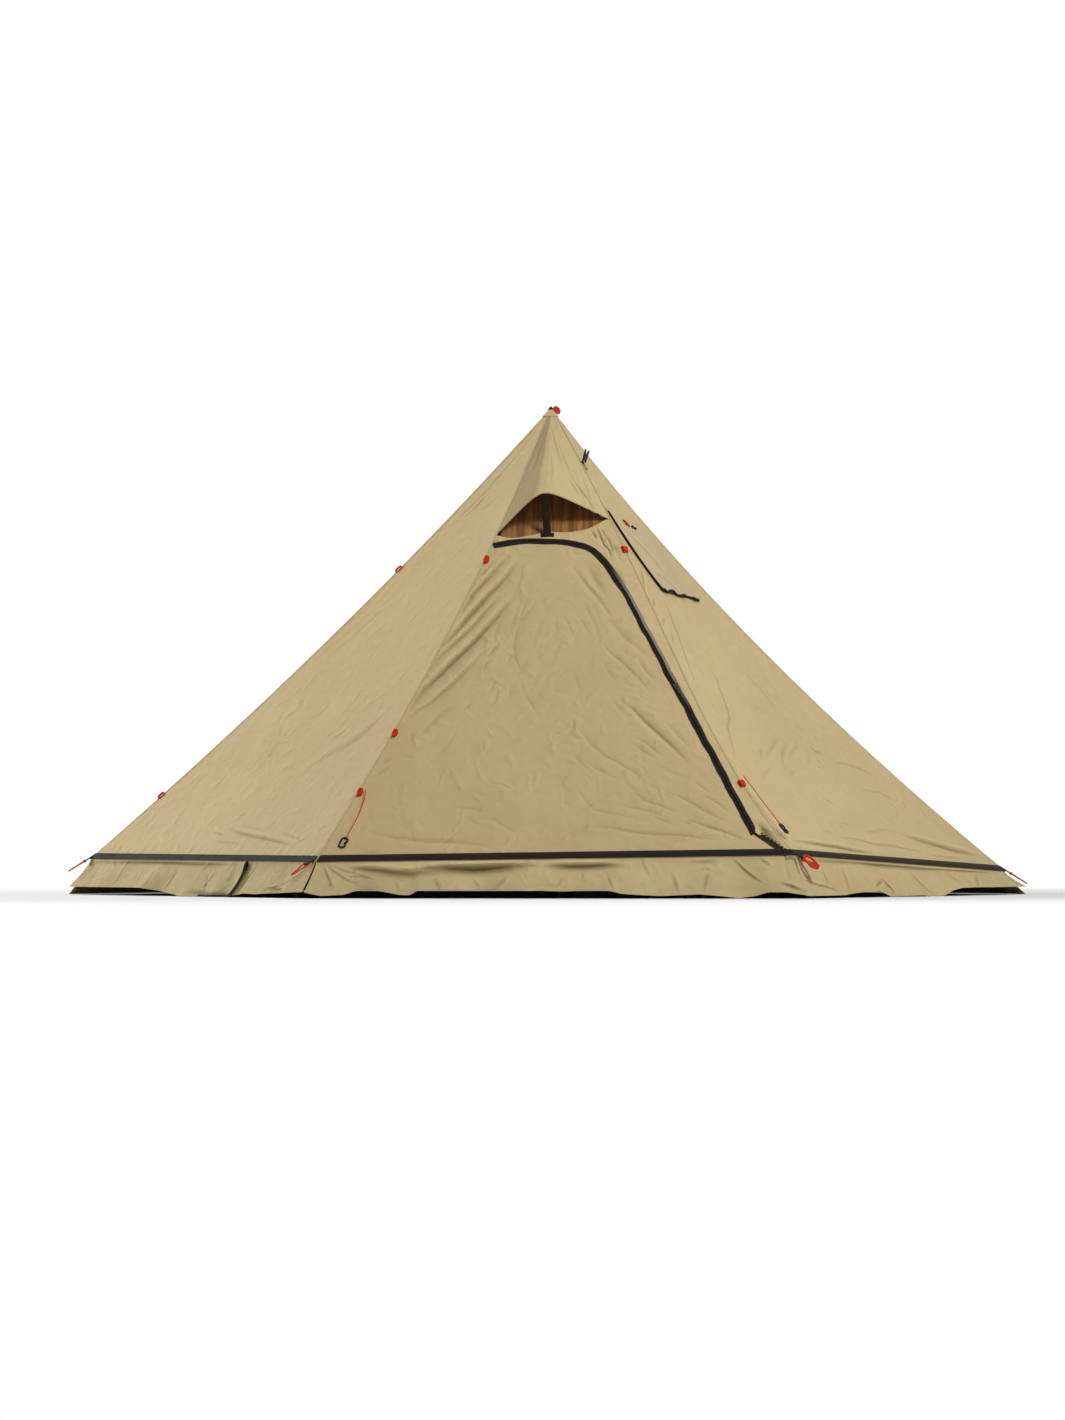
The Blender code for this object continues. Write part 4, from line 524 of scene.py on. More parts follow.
def crease_rows(lines):
    """Rows of flat points along and beside each crease, so that it comes out sharp."""
    rows = []
    for _, width, line in lines:
        route = even(line, max(4, int(length_of(line) / CREASE_PITCH)))
        rows += [route + aside_of(route) * width * step for step in CREASE_STEPS]
    return np.concatenate(rows) if rows else np.zeros((0, 2))


# Meshes


def signed_volume(points, groups):
    rest = points - points.mean(0)
    total = 0.0
    for faces in groups:
        for step in range(1, faces.shape[1] - 1):
            pair = np.cross(rest[faces[:, step]], rest[faces[:, step + 1]])
            total += np.einsum("ij,ij->", rest[faces[:, 0]], pair)
    return total / 6


SHARP_DEGREES = 38.0


class Shape:
    """Points and faces gathered for one piece, with a flat map in metres and a crease mark of painted shade and
    highlight.
    """

    def __init__(self):
        self.points, self.faces, self.paints, self.flats, self.marks = [], [], [], [], []
        self.count = 0

    def add(self, points, groups, flat=None, mark=None, paint=0):
        points = np.asarray(points, float).reshape(-1, 3)
        groups = [np.asarray(faces, int) for faces in groups if len(faces)]
        if signed_volume(points, groups) < 0:
            groups = [faces[:, ::-1] for faces in groups]
        if flat is None:
            flat = points[:, :2]
        self.flats.append(np.asarray(flat, float).reshape(-1, 2))
        self.marks.append(np.zeros(len(points)) if mark is None else np.asarray(mark, float).ravel())
        self.points.append(points)
        for faces in groups:
            self.faces += (faces + self.count).tolist()
            self.paints += [paint] * len(faces)
        self.count += len(points)
        return self

    def sheet(self, outer, inner, flat, mark=None):
        """A closed sheet between two grids of points with the same rows and columns."""
        rows, columns = outer.shape[:2]
        size = rows * columns
        index = np.arange(size).reshape(rows, columns)
        quads = np.stack((index[:-1, :-1], index[1:, :-1], index[1:, 1:], index[:-1, 1:]), -1).reshape(-1, 4)
        border = np.concatenate((index[0], index[1:, -1], index[-1, -2::-1], index[-2:0:-1, 0]))
        after = np.roll(border, -1)
        rim = np.stack((border, after, after + size, border + size), -1)
        points = np.concatenate((outer.reshape(-1, 3), inner.reshape(-1, 3)))
        flat = np.concatenate((flat.reshape(-1, 2),) * 2)
        mark = None if mark is None else np.concatenate((mark.ravel(),) * 2)
        return self.add(points, (quads, quads[:, ::-1] + size, rim), flat, mark)

    def tube(self, route, radius, sides=8, closed=False, paint=0):
        """A round tube along a route, rounded off at its ends."""
        route = np.asarray(route, float)
        if not closed:
            first, last = unit(route[0] - route[1]), unit(route[-1] - route[-2])
            reach = np.min(radius)
            tip = [route[0] + first * reach * 0.85], [route[-1] + last * reach * 0.85]
            near = [route[0] + first * reach * 0.4], [route[-1] + last * reach * 0.4]
            route = np.vstack((tip[0], near[0], route, near[1], tip[1]))
        ahead, behind = (np.roll(route, -1, 0), np.roll(route, 1, 0)) if closed else (None, None)
        run = unit(ahead - behind) if closed else unit(np.gradient(route, axis=0))
        up = np.array((0.0, 0.0, 1.0))
        if abs(up @ run[0]) > 0.9:
            up = np.array((1.0, 0.0, 0.0))
        ups = []
        for way in run:
            up = unit(up - way * (up @ way))
            ups.append(up)
        ups = np.array(ups)
        if closed:
            # The frame comes back turned by some angle, which is shared out along the loop.
            final = unit(ups[-1] - run[0] * (ups[-1] @ run[0]))
            turn = math.atan2(np.cross(ups[0], final) @ run[0], ups[0] @ final)
            part = -turn * np.arange(len(route)) / len(route)
            ups = ups * np.cos(part)[:, None] + np.cross(run, ups) * np.sin(part)[:, None]
        sideways = np.cross(run, ups)
        turns = 2 * math.pi * np.arange(sides) / sides
        girth = np.full(len(route), radius) if np.ndim(radius) == 0 else np.asarray(radius, float)
        if not closed:
            if np.ndim(radius):
                girth = np.r_[girth[0], girth[0], girth, girth[-1], girth[-1]]
            girth = girth.copy()
            girth[[0, -1]] *= 0.45
            girth[[1, -2]] *= 0.88
        ring = ups[:, None] * np.cos(turns)[:, None] + sideways[:, None] * np.sin(turns)[:, None]
        points = route[:, None] + ring * girth[:, None, None]
        return self.band(points, turns * np.mean(girth), route, closed, paint)

    def band(self, rings, across, route, closed=False, paint=0):
        """Rings of points along a route, joined into one form, with flat ends unless it comes back to its start."""
        count, sides = rings.shape[:2]
        here = np.arange(count if closed else count - 1)[:, None] * sides + np.arange(sides)
        there = (here + sides) % (count * sides)
        quads = np.stack((here, np.roll(here, -1, 1), np.roll(there, -1, 1), there), -1).reshape(-1, 4)
        ends = [] if closed else [np.arange(sides)[None, ::-1], (np.arange(sides) + (count - 1) * sides)[None]]
        flat = np.stack(np.broadcast_arrays(across, reach_along(route)[:, None]), -1)
        return self.add(rings, [quads] + ends, flat, None, paint)

    def prism(self, outer, inner, frame, width, paint=0):
        """A closed strip: two flat outlines of one length, swept to both sides of the frame's plane."""
        origin, along, out, across = frame
        count = len(outer)
        points, flats = [], []
        for shift in (-width / 2, -width / 2 * 0.9, width / 2 * 0.9, width / 2):
            edge = abs(shift) > width * 0.48
            middle = (np.asarray(outer) + np.asarray(inner)) / 2
            for outline in (outer, inner):
                line = middle + (np.asarray(outline) - middle) * (0.6 if edge else 1.0)
                points.append(origin + line[:, :1] * along + line[:, 1:] * out + across * shift)
                flats.append(np.stack((np.full(count, shift), np.arange(count) * 0.002), 1))
        index = np.arange(8 * count).reshape(4, 2, count)
        rolled = np.roll(index, -1, 2)
        quads = []
        for level in range(3):
            (here, below), (turned, turned_below) = index[level], rolled[level]
            (above, inside), (turned_above, turned_inside) = index[level + 1], rolled[level + 1]
            quads.append(np.stack((here, turned, turned_above, above), -1))
            quads.append(np.stack((below, inside, turned_inside, turned_below), -1))
        quads.append(np.stack((index[0, 0], index[0, 1], rolled[0, 1], rolled[0, 0]), -1))
        quads.append(np.stack((index[3, 0], rolled[3, 0], rolled[3, 1], index[3, 1]), -1))
        return self.add(np.concatenate(points), [np.concatenate(quads)], np.concatenate(flats), None, paint)

    def piece(self, name, materials, body, replaces, slot):
        mesh = bpy.data.meshes.new(name)
        mesh.from_pydata(np.concatenate(self.points).tolist(), [], self.faces)
        layer = mesh.uv_layers.new(name="cloth")
        corners = np.empty(len(mesh.loops), np.int32)
        mesh.loops.foreach_get("vertex_index", corners)
        layer.data.foreach_set("uv", np.concatenate(self.flats)[corners].astype(np.float32).ravel())
        mark = mesh.attributes.new("fold", "FLOAT", "POINT")
        mark.data.foreach_set("value", np.concatenate(self.marks).astype(np.float32))
        for material in materials if isinstance(materials, (list, tuple)) else (materials,):
            mesh.materials.append(material)
        mesh.polygons.foreach_set("material_index", self.paints)
        mesh.shade_smooth()
        mesh.set_sharp_from_angle(angle=math.radians(SHARP_DEGREES))
        return settle(added(name, mesh), body, replaces)


def added(name, data):
    """A new object in the scene."""
    item = bpy.data.objects.new(name, data)
    bpy.context.scene.collection.objects.link(item)
    return item


def applied(item):
    """Turns an object with its modifiers into one plain mesh."""
    bpy.context.view_layer.update()
    made = bpy.data.meshes.new_from_object(item.evaluated_get(bpy.context.evaluated_depsgraph_get()))
    item.modifiers.clear()
    item.data = made
    return made


def settle(item, body, replaces):
    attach(item, body)
    if replaces:
        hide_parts(*replaces)
    return item


def inside_outline(points, outline):
    """Which flat points lie inside a closed outline."""
    hit = np.zeros(len(points), bool)
    for (x0, y0), (x1, y1) in zip(outline, np.roll(outline, -1, 0)):
        if y0 == y1:
            continue
        crosses = (y0 > points[:, 1]) != (y1 > points[:, 1])
        hit ^= crosses & (points[:, 0] < x0 + (points[:, 1] - y0) * (x1 - x0) / (y1 - y0))
    return hit


def thinned(points, kept, gap):
    """The points that have no earlier or kept one in their own square or one beside it."""
    taken = {tuple(cell) for cell in np.floor(kept / gap).astype(int).tolist()}
    chosen = []
    for point, (column, row) in zip(points, np.floor(points / gap).astype(int).tolist()):
        if not any((column + i, row + j) in taken for i in (-1, 0, 1) for j in (-1, 0, 1)):
            chosen.append(point)
            taken.add((column, row))
    return np.array(chosen).reshape(-1, 2)


def filled(outline, spacing, lines):
    """An outline filled with triangles, small ones along creases: its flat points and the triangles."""
    loop = np.vstack((outline, outline[:1]))
    rim = even(loop, int(length_of(loop) / spacing), True)
    low, high = outline.min(0), outline.max(0)
    grid = []
    for row, y in enumerate(np.arange(low[1], high[1], spacing * 0.87)):
        across = np.arange(low[0] + (row % 2) * spacing / 2, high[0], spacing)
        grid.append(np.stack((across, np.full(len(across), y)), 1))
    kept = rim
    for points, gap in ((crease_rows(lines), 0.0022), (np.concatenate(grid), spacing * 0.45)):
        points = points[inside_outline(points, rim)]
        kept = np.vstack((kept, thinned(points, kept, gap)))
    edges = [(step, (step + 1) % len(rim)) for step in range(len(rim))]
    made = delaunay_2d_cdt([Vector(point) for point in kept.tolist()], edges, [], 1, 1e-7)
    return np.array([tuple(point) for point in made[0]]), np.array([face for face in made[2] if len(face) == 3])


# Finishes. A shared effect is a node group that gives only masks, colours and heights.


def join(tree, made, sockets):
    """Links a node's inputs to sockets, or sets them to values."""
    for key, value in sockets.items():
        socket = made.inputs[key]
        if isinstance(value, bpy.types.NodeSocket):
            tree.links.new(value, socket)
        else:
            socket.default_value = value
    return made


def node(tree, kind, sockets=None, **settings):
    made = tree.nodes.new(kind)
    for name, value in settings.items():
        setattr(made, name, value)
    return join(tree, made, sockets or {})


def calc(tree, operation, first, second=0.0, third=0.0):
    made = node(tree, "ShaderNodeMath", {0: first, 1: second}, operation=operation)
    if operation == "MULTIPLY_ADD":
        made.inputs[2].default_value = third
    return made.outputs[0]


def shade(tree, share, low, high):
    """A colour between two, by a share."""
    low, high = ((*value, 1.0) if isinstance(value, tuple) else value for value in (low, high))
    return node(tree, "ShaderNodeMix", {0: share, 6: low, 7: high}, data_type="RGBA", clamp_factor=True).outputs[2]


def noise(tree, place, scale, detail, roughness=0.5):
    sockets = {"Vector": place, "Scale": scale, "Detail": detail, "Roughness": roughness}
    return node(tree, "ShaderNodeTexNoise", sockets).outputs[0]


def between(tree, value, low, high, first=0.0, last=1.0):
    """A value's share of the way from a low mark to a high one."""
    return node(tree, "ShaderNodeMapRange", {0: value, 1: low, 2: high, 3: first, 4: last}).outputs[0]


def parts_of(tree, vector):
    return node(tree, "ShaderNodeSeparateXYZ", {0: vector}).outputs


def new_group(name, inputs, outputs, family="Shader", gives="Float"):
    """A node group, with what it is given and the names of what it gives."""
    tree = bpy.data.node_groups.new(name, family + "NodeTree")
    for label, kind, value in inputs:
        socket = tree.interface.new_socket(label, in_out="INPUT", socket_type="NodeSocket" + kind)
        if value is not None:
            socket.default_value = value
    for label in outputs:
        tree.interface.new_socket(label, in_out="OUTPUT", socket_type="NodeSocket" + gives)
    return tree, tree.nodes.new("NodeGroupInput").outputs


def ended(tree, **results):
    join(tree, tree.nodes.new("NodeGroupOutput"), results)
    return tree


def make_weave_group():
    """Plain weave on a flat map in metres: thread heights and the uneven shade of single threads."""
    tree, given = new_group(
        "plain_weave",
        (("Map", "Vector", None), ("Thread Pitch", "Float", 0.0011), ("Slub", "Float", 0.5)),
        ("Height", "Threads"),
    )
    spread = parts_of(tree, given["Map"])
    waves, streaks = [], []
    for axis in (0, 1):
        drift = noise(tree, given["Map"], 260.0, 1.0)
        place = calc(tree, "DIVIDE", spread[axis], given["Thread Pitch"])
        place = calc(tree, "ADD", place, calc(tree, "MULTIPLY", drift, 0.35))
        waves.append(calc(tree, "SINE", calc(tree, "MULTIPLY", place, 2 * math.pi)))
    for stretch in ((900.0, 9.0, 1.0), (9.0, 900.0, 1.0)):
        scaled = node(tree, "ShaderNodeMapping", {"Vector": given["Map"], "Scale": stretch})
        streaks.append(noise(tree, scaled.outputs[0], 1.0, 2.0))
    threads = calc(tree, "MULTIPLY", calc(tree, "ADD", *streaks), 0.5)
    threads = calc(tree, "MULTIPLY_ADD", calc(tree, "SUBTRACT", threads, 0.5), given["Slub"], 0.5)
    return ended(tree, Height=calc(tree, "MULTIPLY_ADD", calc(tree, "MULTIPLY", *waves), 0.5, 0.5), Threads=threads)


def make_use_group():
    """Handling marks by place: broad cloudy tone, fine mottle, and dust that gathers near the ground."""
    tree, given = new_group(
        "cloth_use",
        (("Place", "Vector", None), ("Cloud Size", "Float", 0.45), ("Dust Height", "Float", 0.16)),
        ("Tone", "Mottle", "Dust"),
    )
    place = given["Place"]
    clouds = noise(tree, place, calc(tree, "DIVIDE", 1.0, given["Cloud Size"]), 3.0, 0.55)
    low = calc(tree, "SUBTRACT", 1.0, calc(tree, "DIVIDE", parts_of(tree, place)[2], given["Dust Height"]))
    dust = calc(tree, "MULTIPLY", calc(tree, "MAXIMUM", low, 0.0), noise(tree, place, 12.0, 5.0, 0.7))
    return ended(tree, Tone=clouds, Mottle=noise(tree, place, 34.0, 4.0, 0.6), Dust=dust)


def make_webbing_group():
    """Ribs of woven tape across its length, with a finer thread along it."""
    tree, given = new_group(
        "webbing_ribs", (("Map", "Vector", None), ("Rib Pitch", "Float", 0.0016)), ("Height", "Threads"))
    spread = parts_of(tree, given["Map"])
    turn = calc(tree, "DIVIDE", 2 * math.pi, given["Rib Pitch"])
    across = calc(tree, "SINE", calc(tree, "MULTIPLY", spread[0], turn))
    along = calc(tree, "SINE", calc(tree, "MULTIPLY", spread[1], calc(tree, "MULTIPLY", turn, 0.6)))
    height = calc(tree, "MULTIPLY_ADD", calc(tree, "MULTIPLY", across, along), 0.5, 0.5)
    return ended(tree, Height=height, Threads=noise(tree, given["Map"], 900.0, 2.0))


def make_grain_group():
    """Moulded or cast surface by place: fine grain and broader worn patches."""
    tree, given = new_group(
        "moulded_grain", (("Place", "Vector", None), ("Grain Scale", "Float", 900.0)), ("Grain", "Wear"))
    grain = noise(tree, given["Place"], given["Grain Scale"], 3.0)
    return ended(tree, Grain=grain, Wear=noise(tree, given["Place"], 70.0, 4.0, 0.65))


WEAVE, USE, RIBS, GRAIN = make_weave_group(), make_use_group(), make_webbing_group(), make_grain_group()


def new_material(name, **constants):
    """A material, its tree and its shader, whose constants are given by their names with _ for a space."""
    material = bpy.data.materials.new(name)
    material.use_nodes = True
    tree = material.node_tree
    tree.nodes.clear()
    sockets = {key.replace("_", " "): value for key, value in constants.items()}
    shader = node(tree, "ShaderNodeBsdfPrincipled", sockets)
    node(tree, "ShaderNodeOutputMaterial", {"Surface": shader.outputs[0]})
    return material, tree, shader


def place_of(tree):
    return node(tree, "ShaderNodeTexCoord").outputs["Object"]


def map_of(tree):
    return node(tree, "ShaderNodeUVMap", uv_map="cloth").outputs[0]


def use_of(tree, group, **given):
    sockets = {key.replace("_", " "): value for key, value in given.items()}
    return node(tree, "ShaderNodeGroup", sockets, node_tree=group).outputs


def bump(tree, height, strength, distance, under=None):
    sockets = {"Height": height, "Strength": strength, "Distance": distance}
    if under:
        sockets["Normal"] = under
    return node(tree, "ShaderNodeBump", sockets).outputs["Normal"]


def finished(tree, shader, base, rough, normal):
    join(tree, shader, {"Base Color": base, "Roughness": rough, "Normal": normal})


def cloth_material(name, colour, dark, roughness, pitch=0.0011, dust=0.35):
    """Woven polyester with cloudy tone, painted shade along crease lines with painted highlights on their crests, and
    dust near the ground.
    """
    material, tree, shader = new_material(name, Specular_IOR_Level=0.06)
    place = place_of(tree)
    weave = use_of(tree, WEAVE, Map=map_of(tree), Thread_Pitch=pitch)
    use = use_of(tree, USE, Place=place)
    crease = node(tree, "ShaderNodeAttribute", attribute_name="fold").outputs["Fac"]
    base = shade(tree, calc(tree, "MULTIPLY", between(tree, use["Tone"], 0.3, 0.7), 0.30), colour, dark)
    for share, less, times, tint in (
        (use["Mottle"], 0.42, 0.55, dark),
        (weave["Threads"], 0.45, 1.1, dark),
        # Painted shade in the creases and a painted highlight on their crests, from the fold attribute
        (crease, 0.0, 0.78, tuple(part * 0.62 for part in dark)),
        (crease, 0.0, -0.75, tuple(min(part * 1.22, 0.9) for part in colour)),
        (use["Dust"], 0.0, dust, DUST),
    ):
        share = calc(tree, "SUBTRACT", share, less) if less else share
        base = shade(tree, calc(tree, "MULTIPLY", share, times), base, tint)
    crumple = node(tree, "ShaderNodeTexNoise", {
        "Vector": place, "Scale": 15.0, "Detail": 3.0, "Roughness": 0.6, "Distortion": 1.1,
    }, noise_type="RIDGED_MULTIFRACTAL")
    creased = bump(tree, crumple.outputs[0], 1.0, 0.006)
    rough = calc(tree, "MULTIPLY_ADD", use["Mottle"], 0.16, roughness - 0.08)
    finished(tree, shader, base, rough, bump(tree, weave["Height"], 0.35, 0.00025, creased))
    return material


def webbing_material(name, colour, paler_tint, roughness, pitch=0.0016, highlight_colour=None):
    """Ribbed woven tape, with a painted highlight on its rib tops and random paler threads, and, where a highlight
    colour is given, a painted highlight between two heights.
    """
    material, tree, shader = new_material(name, Specular_IOR_Level=0.03)
    place = place_of(tree)
    ribs = use_of(tree, RIBS, Map=map_of(tree), Rib_Pitch=pitch)
    use = use_of(tree, USE, Place=place)
    base = colour
    # A painted highlight on the rib tops, and the random tone of single threads, towards the paler tint
    for share, times, tint in (
        (ribs["Height"], 0.45, paler_tint), (ribs["Threads"], 0.35, paler_tint), (use["Dust"], 0.25, WEBBING_DUST),
    ):
        base = shade(tree, calc(tree, "MULTIPLY", share, times), base, tint)
    # A painted highlight: the tape is paler between two heights, where the light catches it.
    if highlight_colour:
        height = parts_of(tree, place)[2]
        band = calc(tree, "MULTIPLY", between(tree, height, 0.62, 0.78), between(tree, height, 1.12, 1.02))
        base = shade(tree, band, base, highlight_colour)
    rough = calc(tree, "MULTIPLY_ADD", use["Mottle"], 0.2, roughness - 0.1)
    finished(tree, shader, base, rough, bump(tree, ribs["Height"], 0.6, 0.0004))
    return material


def net_material():
    """Brown insect net: fine hexagonal holes, with streaks of painted shade where it hangs in soft pleats."""
    material, tree, shader = new_material("brown_net")
    flat = map_of(tree)
    holes = node(tree, "ShaderNodeTexVoronoi", {
        "Vector": flat, "Scale": 520.0, "Randomness": 0.15}, feature="DISTANCE_TO_EDGE")
    thread = between(tree, holes.outputs["Distance"], 0.10, 0.20, 1.0, 0.0)
    stretch = node(tree, "ShaderNodeMapping", {"Vector": flat, "Scale": (46.0, 2.2, 1.0)})
    streak = between(tree, noise(tree, stretch.outputs[0], 1.0, 4.0, 0.65), 0.40, 0.62)
    use = use_of(tree, USE, Place=place_of(tree))
    # Painted shade: darker streaks stand for the shading of the pleats.
    base = shade(tree, streak, (0.25, 0.092, 0.016), (0.80, 0.370, 0.085))
    base = shade(tree, calc(tree, "SUBTRACT", 1.0, thread), base, (0.15, 0.052, 0.011))
    base = shade(tree, calc(tree, "MULTIPLY", use["Mottle"], 0.3), base, (0.05, 0.022, 0.008))
    finished(tree, shader, base, 0.8, bump(tree, thread, 0.5, 0.0005))
    return material


def hard_material(name, colour, paler_tint, roughness, metallic=0.0, grain=900.0):
    """Moulded plastic, cast metal or rubber, with fine grain and rubbed patches."""
    material, tree, shader = new_material(name, Metallic=metallic, Specular_IOR_Level=0.14)
    made = use_of(tree, GRAIN, Place=place_of(tree), Grain_Scale=grain)
    base = shade(tree, between(tree, made["Wear"], 0.45, 0.75), colour, paler_tint)
    rough = calc(tree, "MULTIPLY_ADD", made["Wear"], 0.3, roughness - 0.15)
    finished(tree, shader, base, rough, bump(tree, made["Grain"], 0.3, 0.0002))
    return material


DUST = (0.23, 0.18, 0.115)
WEBBING_DUST = (0.20, 0.165, 0.12)
TAN = cloth_material("tan_tent_cloth", (0.635, 0.500, 0.262), (0.47, 0.362, 0.174), 0.62)
# The door's cloth is a darker copy of the tan cloth: painted shade.
TAN_DOOR_PAINTED_SHADE = cloth_material("tan_door_cloth_painted_shade", (0.610, 0.462, 0.240), (0.45, 0.333, 0.158), 0.62)
TAN_SKIRT = cloth_material("tan_skirt_cloth", (0.665, 0.535, 0.272), (0.43, 0.338, 0.158), 0.7, 0.0013, 0.45)
TAN_FLAP = cloth_material("tan_flap_cloth", (0.605, 0.490, 0.305), (0.48, 0.375, 0.220), 0.66, 0.0012)
HEAT_CLOTH = cloth_material("grey_heat_cloth", (0.33, 0.31, 0.27), (0.22, 0.205, 0.175), 0.75, 0.0019)
BLACK_WEBBING = webbing_material("black_webbing", (0.011, 0.008, 0.006), (0.046, 0.036, 0.027), 0.6)
ZIP_TAPE = webbing_material("black_zip_tape", (0.010, 0.008, 0.006), (0.040, 0.031, 0.024), 0.6, 0.0010)
# The surround's zip tape is paler between two heights: a painted highlight.
ZIP_TAPE_PAINTED_HIGHLIGHT = webbing_material("zip_tape_painted_highlight", (0.012, 0.009, 0.007), (0.050, 0.039, 0.030), 0.6, 0.0010,
                              highlight_colour=(0.300, 0.250, 0.205))
RED_WEBBING = webbing_material("red_webbing", (0.56, 0.030, 0.010), (0.68, 0.060, 0.024), 0.6, 0.0014)
RED_CORD = webbing_material("red_cord", (0.60, 0.034, 0.014), (0.72, 0.075, 0.034), 0.55, 0.0022)
NET = net_material()
THREAD = hard_material("tan_thread", (0.44, 0.34, 0.19), (0.52, 0.42, 0.25), 0.6)
DARK_THREAD = hard_material("dark_thread", (0.040, 0.034, 0.028), (0.085, 0.075, 0.062), 0.6)
NYLON_COIL = hard_material("black_nylon_coil", (0.010, 0.008, 0.007), (0.035, 0.030, 0.026), 0.5, 0.0, 1200.0)
BLACK_PLASTIC = hard_material("black_plastic", (0.004, 0.004, 0.004), (0.012, 0.011, 0.010), 0.6)
ZINC = hard_material("dark_zinc", (0.020, 0.018, 0.016), (0.085, 0.078, 0.070), 0.45, 0.5)
STEEL_WIRE = hard_material("black_coated_wire", (0.008, 0.008, 0.008), (0.030, 0.030, 0.030), 0.5, 0.1)
ALUMINIUM = hard_material("anodised_aluminium", (0.46, 0.47, 0.48), (0.60, 0.61, 0.62), 0.36, 1.0, 300.0)
RUBBER = hard_material("black_rubber", (0.018, 0.018, 0.018), (0.045, 0.043, 0.041), 0.8)

# Camera: low, level with the hem and far back, as in the photograph

CAMERA_PLACE = (0.0, -21.386, 0.2)
CAMERA_AIM = (-0.0646, 0.0, 0.6434)
LENS = 155.28


def make_camera():
    data = bpy.data.cameras.new("camera")
    data.lens, data.sensor_width = LENS, 36.0
    data.clip_start, data.clip_end = 0.5, 200.0
    item = added("camera", data)
    item.location = CAMERA_PLACE
    item.rotation_euler = (Vector(CAMERA_AIM) - Vector(CAMERA_PLACE)).to_track_quat("-Z", "Y").to_euler()
    bpy.context.scene.camera = item


make_camera()

# Hold-back cords with their hooks


def fold_outlines(thickness):
    """The outer and inner outline of a folded tab: a flattened loop of one web."""
    outlines, arcs = [], 8
    for radius in (thickness / 2, thickness * (0.5 - TAB_WEB_SHARE)):
        outline = []
        for centre, start in ((thickness / 2, math.pi / 2), (TAB_LENGTH - thickness / 2, -math.pi / 2)):
            for step in range(arcs + 1):
                turn = start + math.pi * step / arcs
                outline.append((centre + radius * math.cos(turn), radius * math.sin(turn)))
        outlines.append(np.array(outline))
    return outlines


def ridge_frame(name, share):
    """Axes of a tab that stands on a ridge: its place, along the ridge, out, and across."""
    along = unit(ridge(name, share + 0.11) - ridge(name, share - 0.11))
    out = unit(mitre(name))
    out = unit(out - along * (out @ along))
    return ridge(name, share) + out * LAP_GAP, along, out, np.cross(along, out)


def door_tab_frame(share):
    flat = front_flat(ridge("front_left", share)) + (DOOR_TAB_INSET, 0)
    down = unit(corner("front_left") - APEX)
    out = unit(np.cross(down, FRONT_OUT))
    out = out if out @ FRONT_ACROSS > 0 else -out
    return front(flat, TOUCH_GAP + TAB_THICKNESS / 2), down, out, FRONT_OUT


def hook_route(top, down, aside):
    """An S-shaped wire hook: an eye bow above and an open bow below."""
    bow = HOOK_BOW_RADIUS
    upper, lower = np.radians(np.linspace(-60, 180, 8)), np.radians(np.linspace(180, -60, 8))[1:]
    points = []
    for drop, turns, sign in ((1, upper, -1), (3, lower, 1)):
        centre = top + down * bow * drop
        points += [centre - aside * bow * math.cos(turn) + sign * down * bow * math.sin(turn) for turn in turns]
    return curve_through(points, 44)


def make_cord(side, route, aside, body):
    down = unit(route[-1] - route[-2])
    top = route[-1] + down * (HOOK_WIRE_RADIUS + TOUCH_GAP)
    hook = Shape().tube(hook_route(top, down, aside), HOOK_WIRE_RADIUS * HOOK_COATING, 10).piece(
        "hold_back_hook_" + side, STEEL_WIRE, body, ["retainer_hook_" + side], slot="black_plastic")
    cord = Shape().tube(route, CORD_RADIUS, 10).piece(
        "hold_back_cord_" + side, RED_CORD, body, ["retainer_cord_" + side], slot="red_webbing")


def make_cords():
    base, _, out, _ = door_tab_frame(DOOR_TABS["door_tab_lower"])
    start = front_flat(base + out * TAB_LENGTH / 2)
    lift = TOUCH_GAP + TAB_THICKNESS + TOUCH_GAP + CORD_RADIUS
    lying = CORD_RADIUS + LAP_GAP + 0.001
    lifts = (lift, lift * 0.75, lying, lying)
    places = [front(start + np.array(step), rise) for step, rise in zip(LEFT_CORD_ROUTE, lifts)]
    run = unit(np.subtract(LEFT_CORD_ROUTE[-1], LEFT_CORD_ROUTE[-2]))
    way = FRONT_ACROSS * run[0] + FRONT_UP * run[1]
    make_cord("left", curve_through(places, CORD_POINTS), np.cross(way, FRONT_OUT), "door")

    base, _, out, across = ridge_frame(*RIDGE_TABS["ridge_tab_front_right_lower"])
    facing = facing_of("right_front")
    level = unit(corner("right") - corner("front_right"))
    slope = np.cross(facing, level)
    shift = across * (TAB_THICKNESS / 2 + TOUCH_GAP + CORD_RADIUS)
    start = base + out * (TAB_LENGTH * 0.7) + (shift if shift @ level > 0 else -shift)
    height = (start - corner("front_right")) @ facing
    places = []
    for (aside, drop), rest in zip(RIGHT_CORD_ROUTE, (height, height * 0.72, height * 0.34, CORD_RADIUS * 4)):
        point = start + level * aside + slope * drop
        places.append(point + facing * (rest - (point - corner("front_right")) @ facing))
    route = curve_through(places, CORD_POINTS)
    down = unit(route[-1] - route[-2])
    down = unit(down - facing * (down @ facing))
    make_cord("right", route, unit(np.cross(down, facing)), "tent")


make_cords()

# Cloth sides


def edge_spots(width, columns):
    """Places across a side in each row: close together at both seams, then evenly over the middle."""
    near = np.array((SEAM_GAP / 2, 0.0016, 0.0078, 0.0096))
    near = np.minimum(near, width * np.array((0.012, 0.05, 0.16, 0.22)))
    first = near / width
    step = np.linspace(0, 1, columns)[1:-1]
    middle = first[-1] + (1 - 2 * first[-1]) * (step - 0.06 * np.sin(2 * math.pi * step))
    return np.concatenate((first, middle, 1 - first[::-1]))


SEAM_RISE = np.array((0.0007, 0.0010, 0.0010, 0.0))
SLANT = 2.0


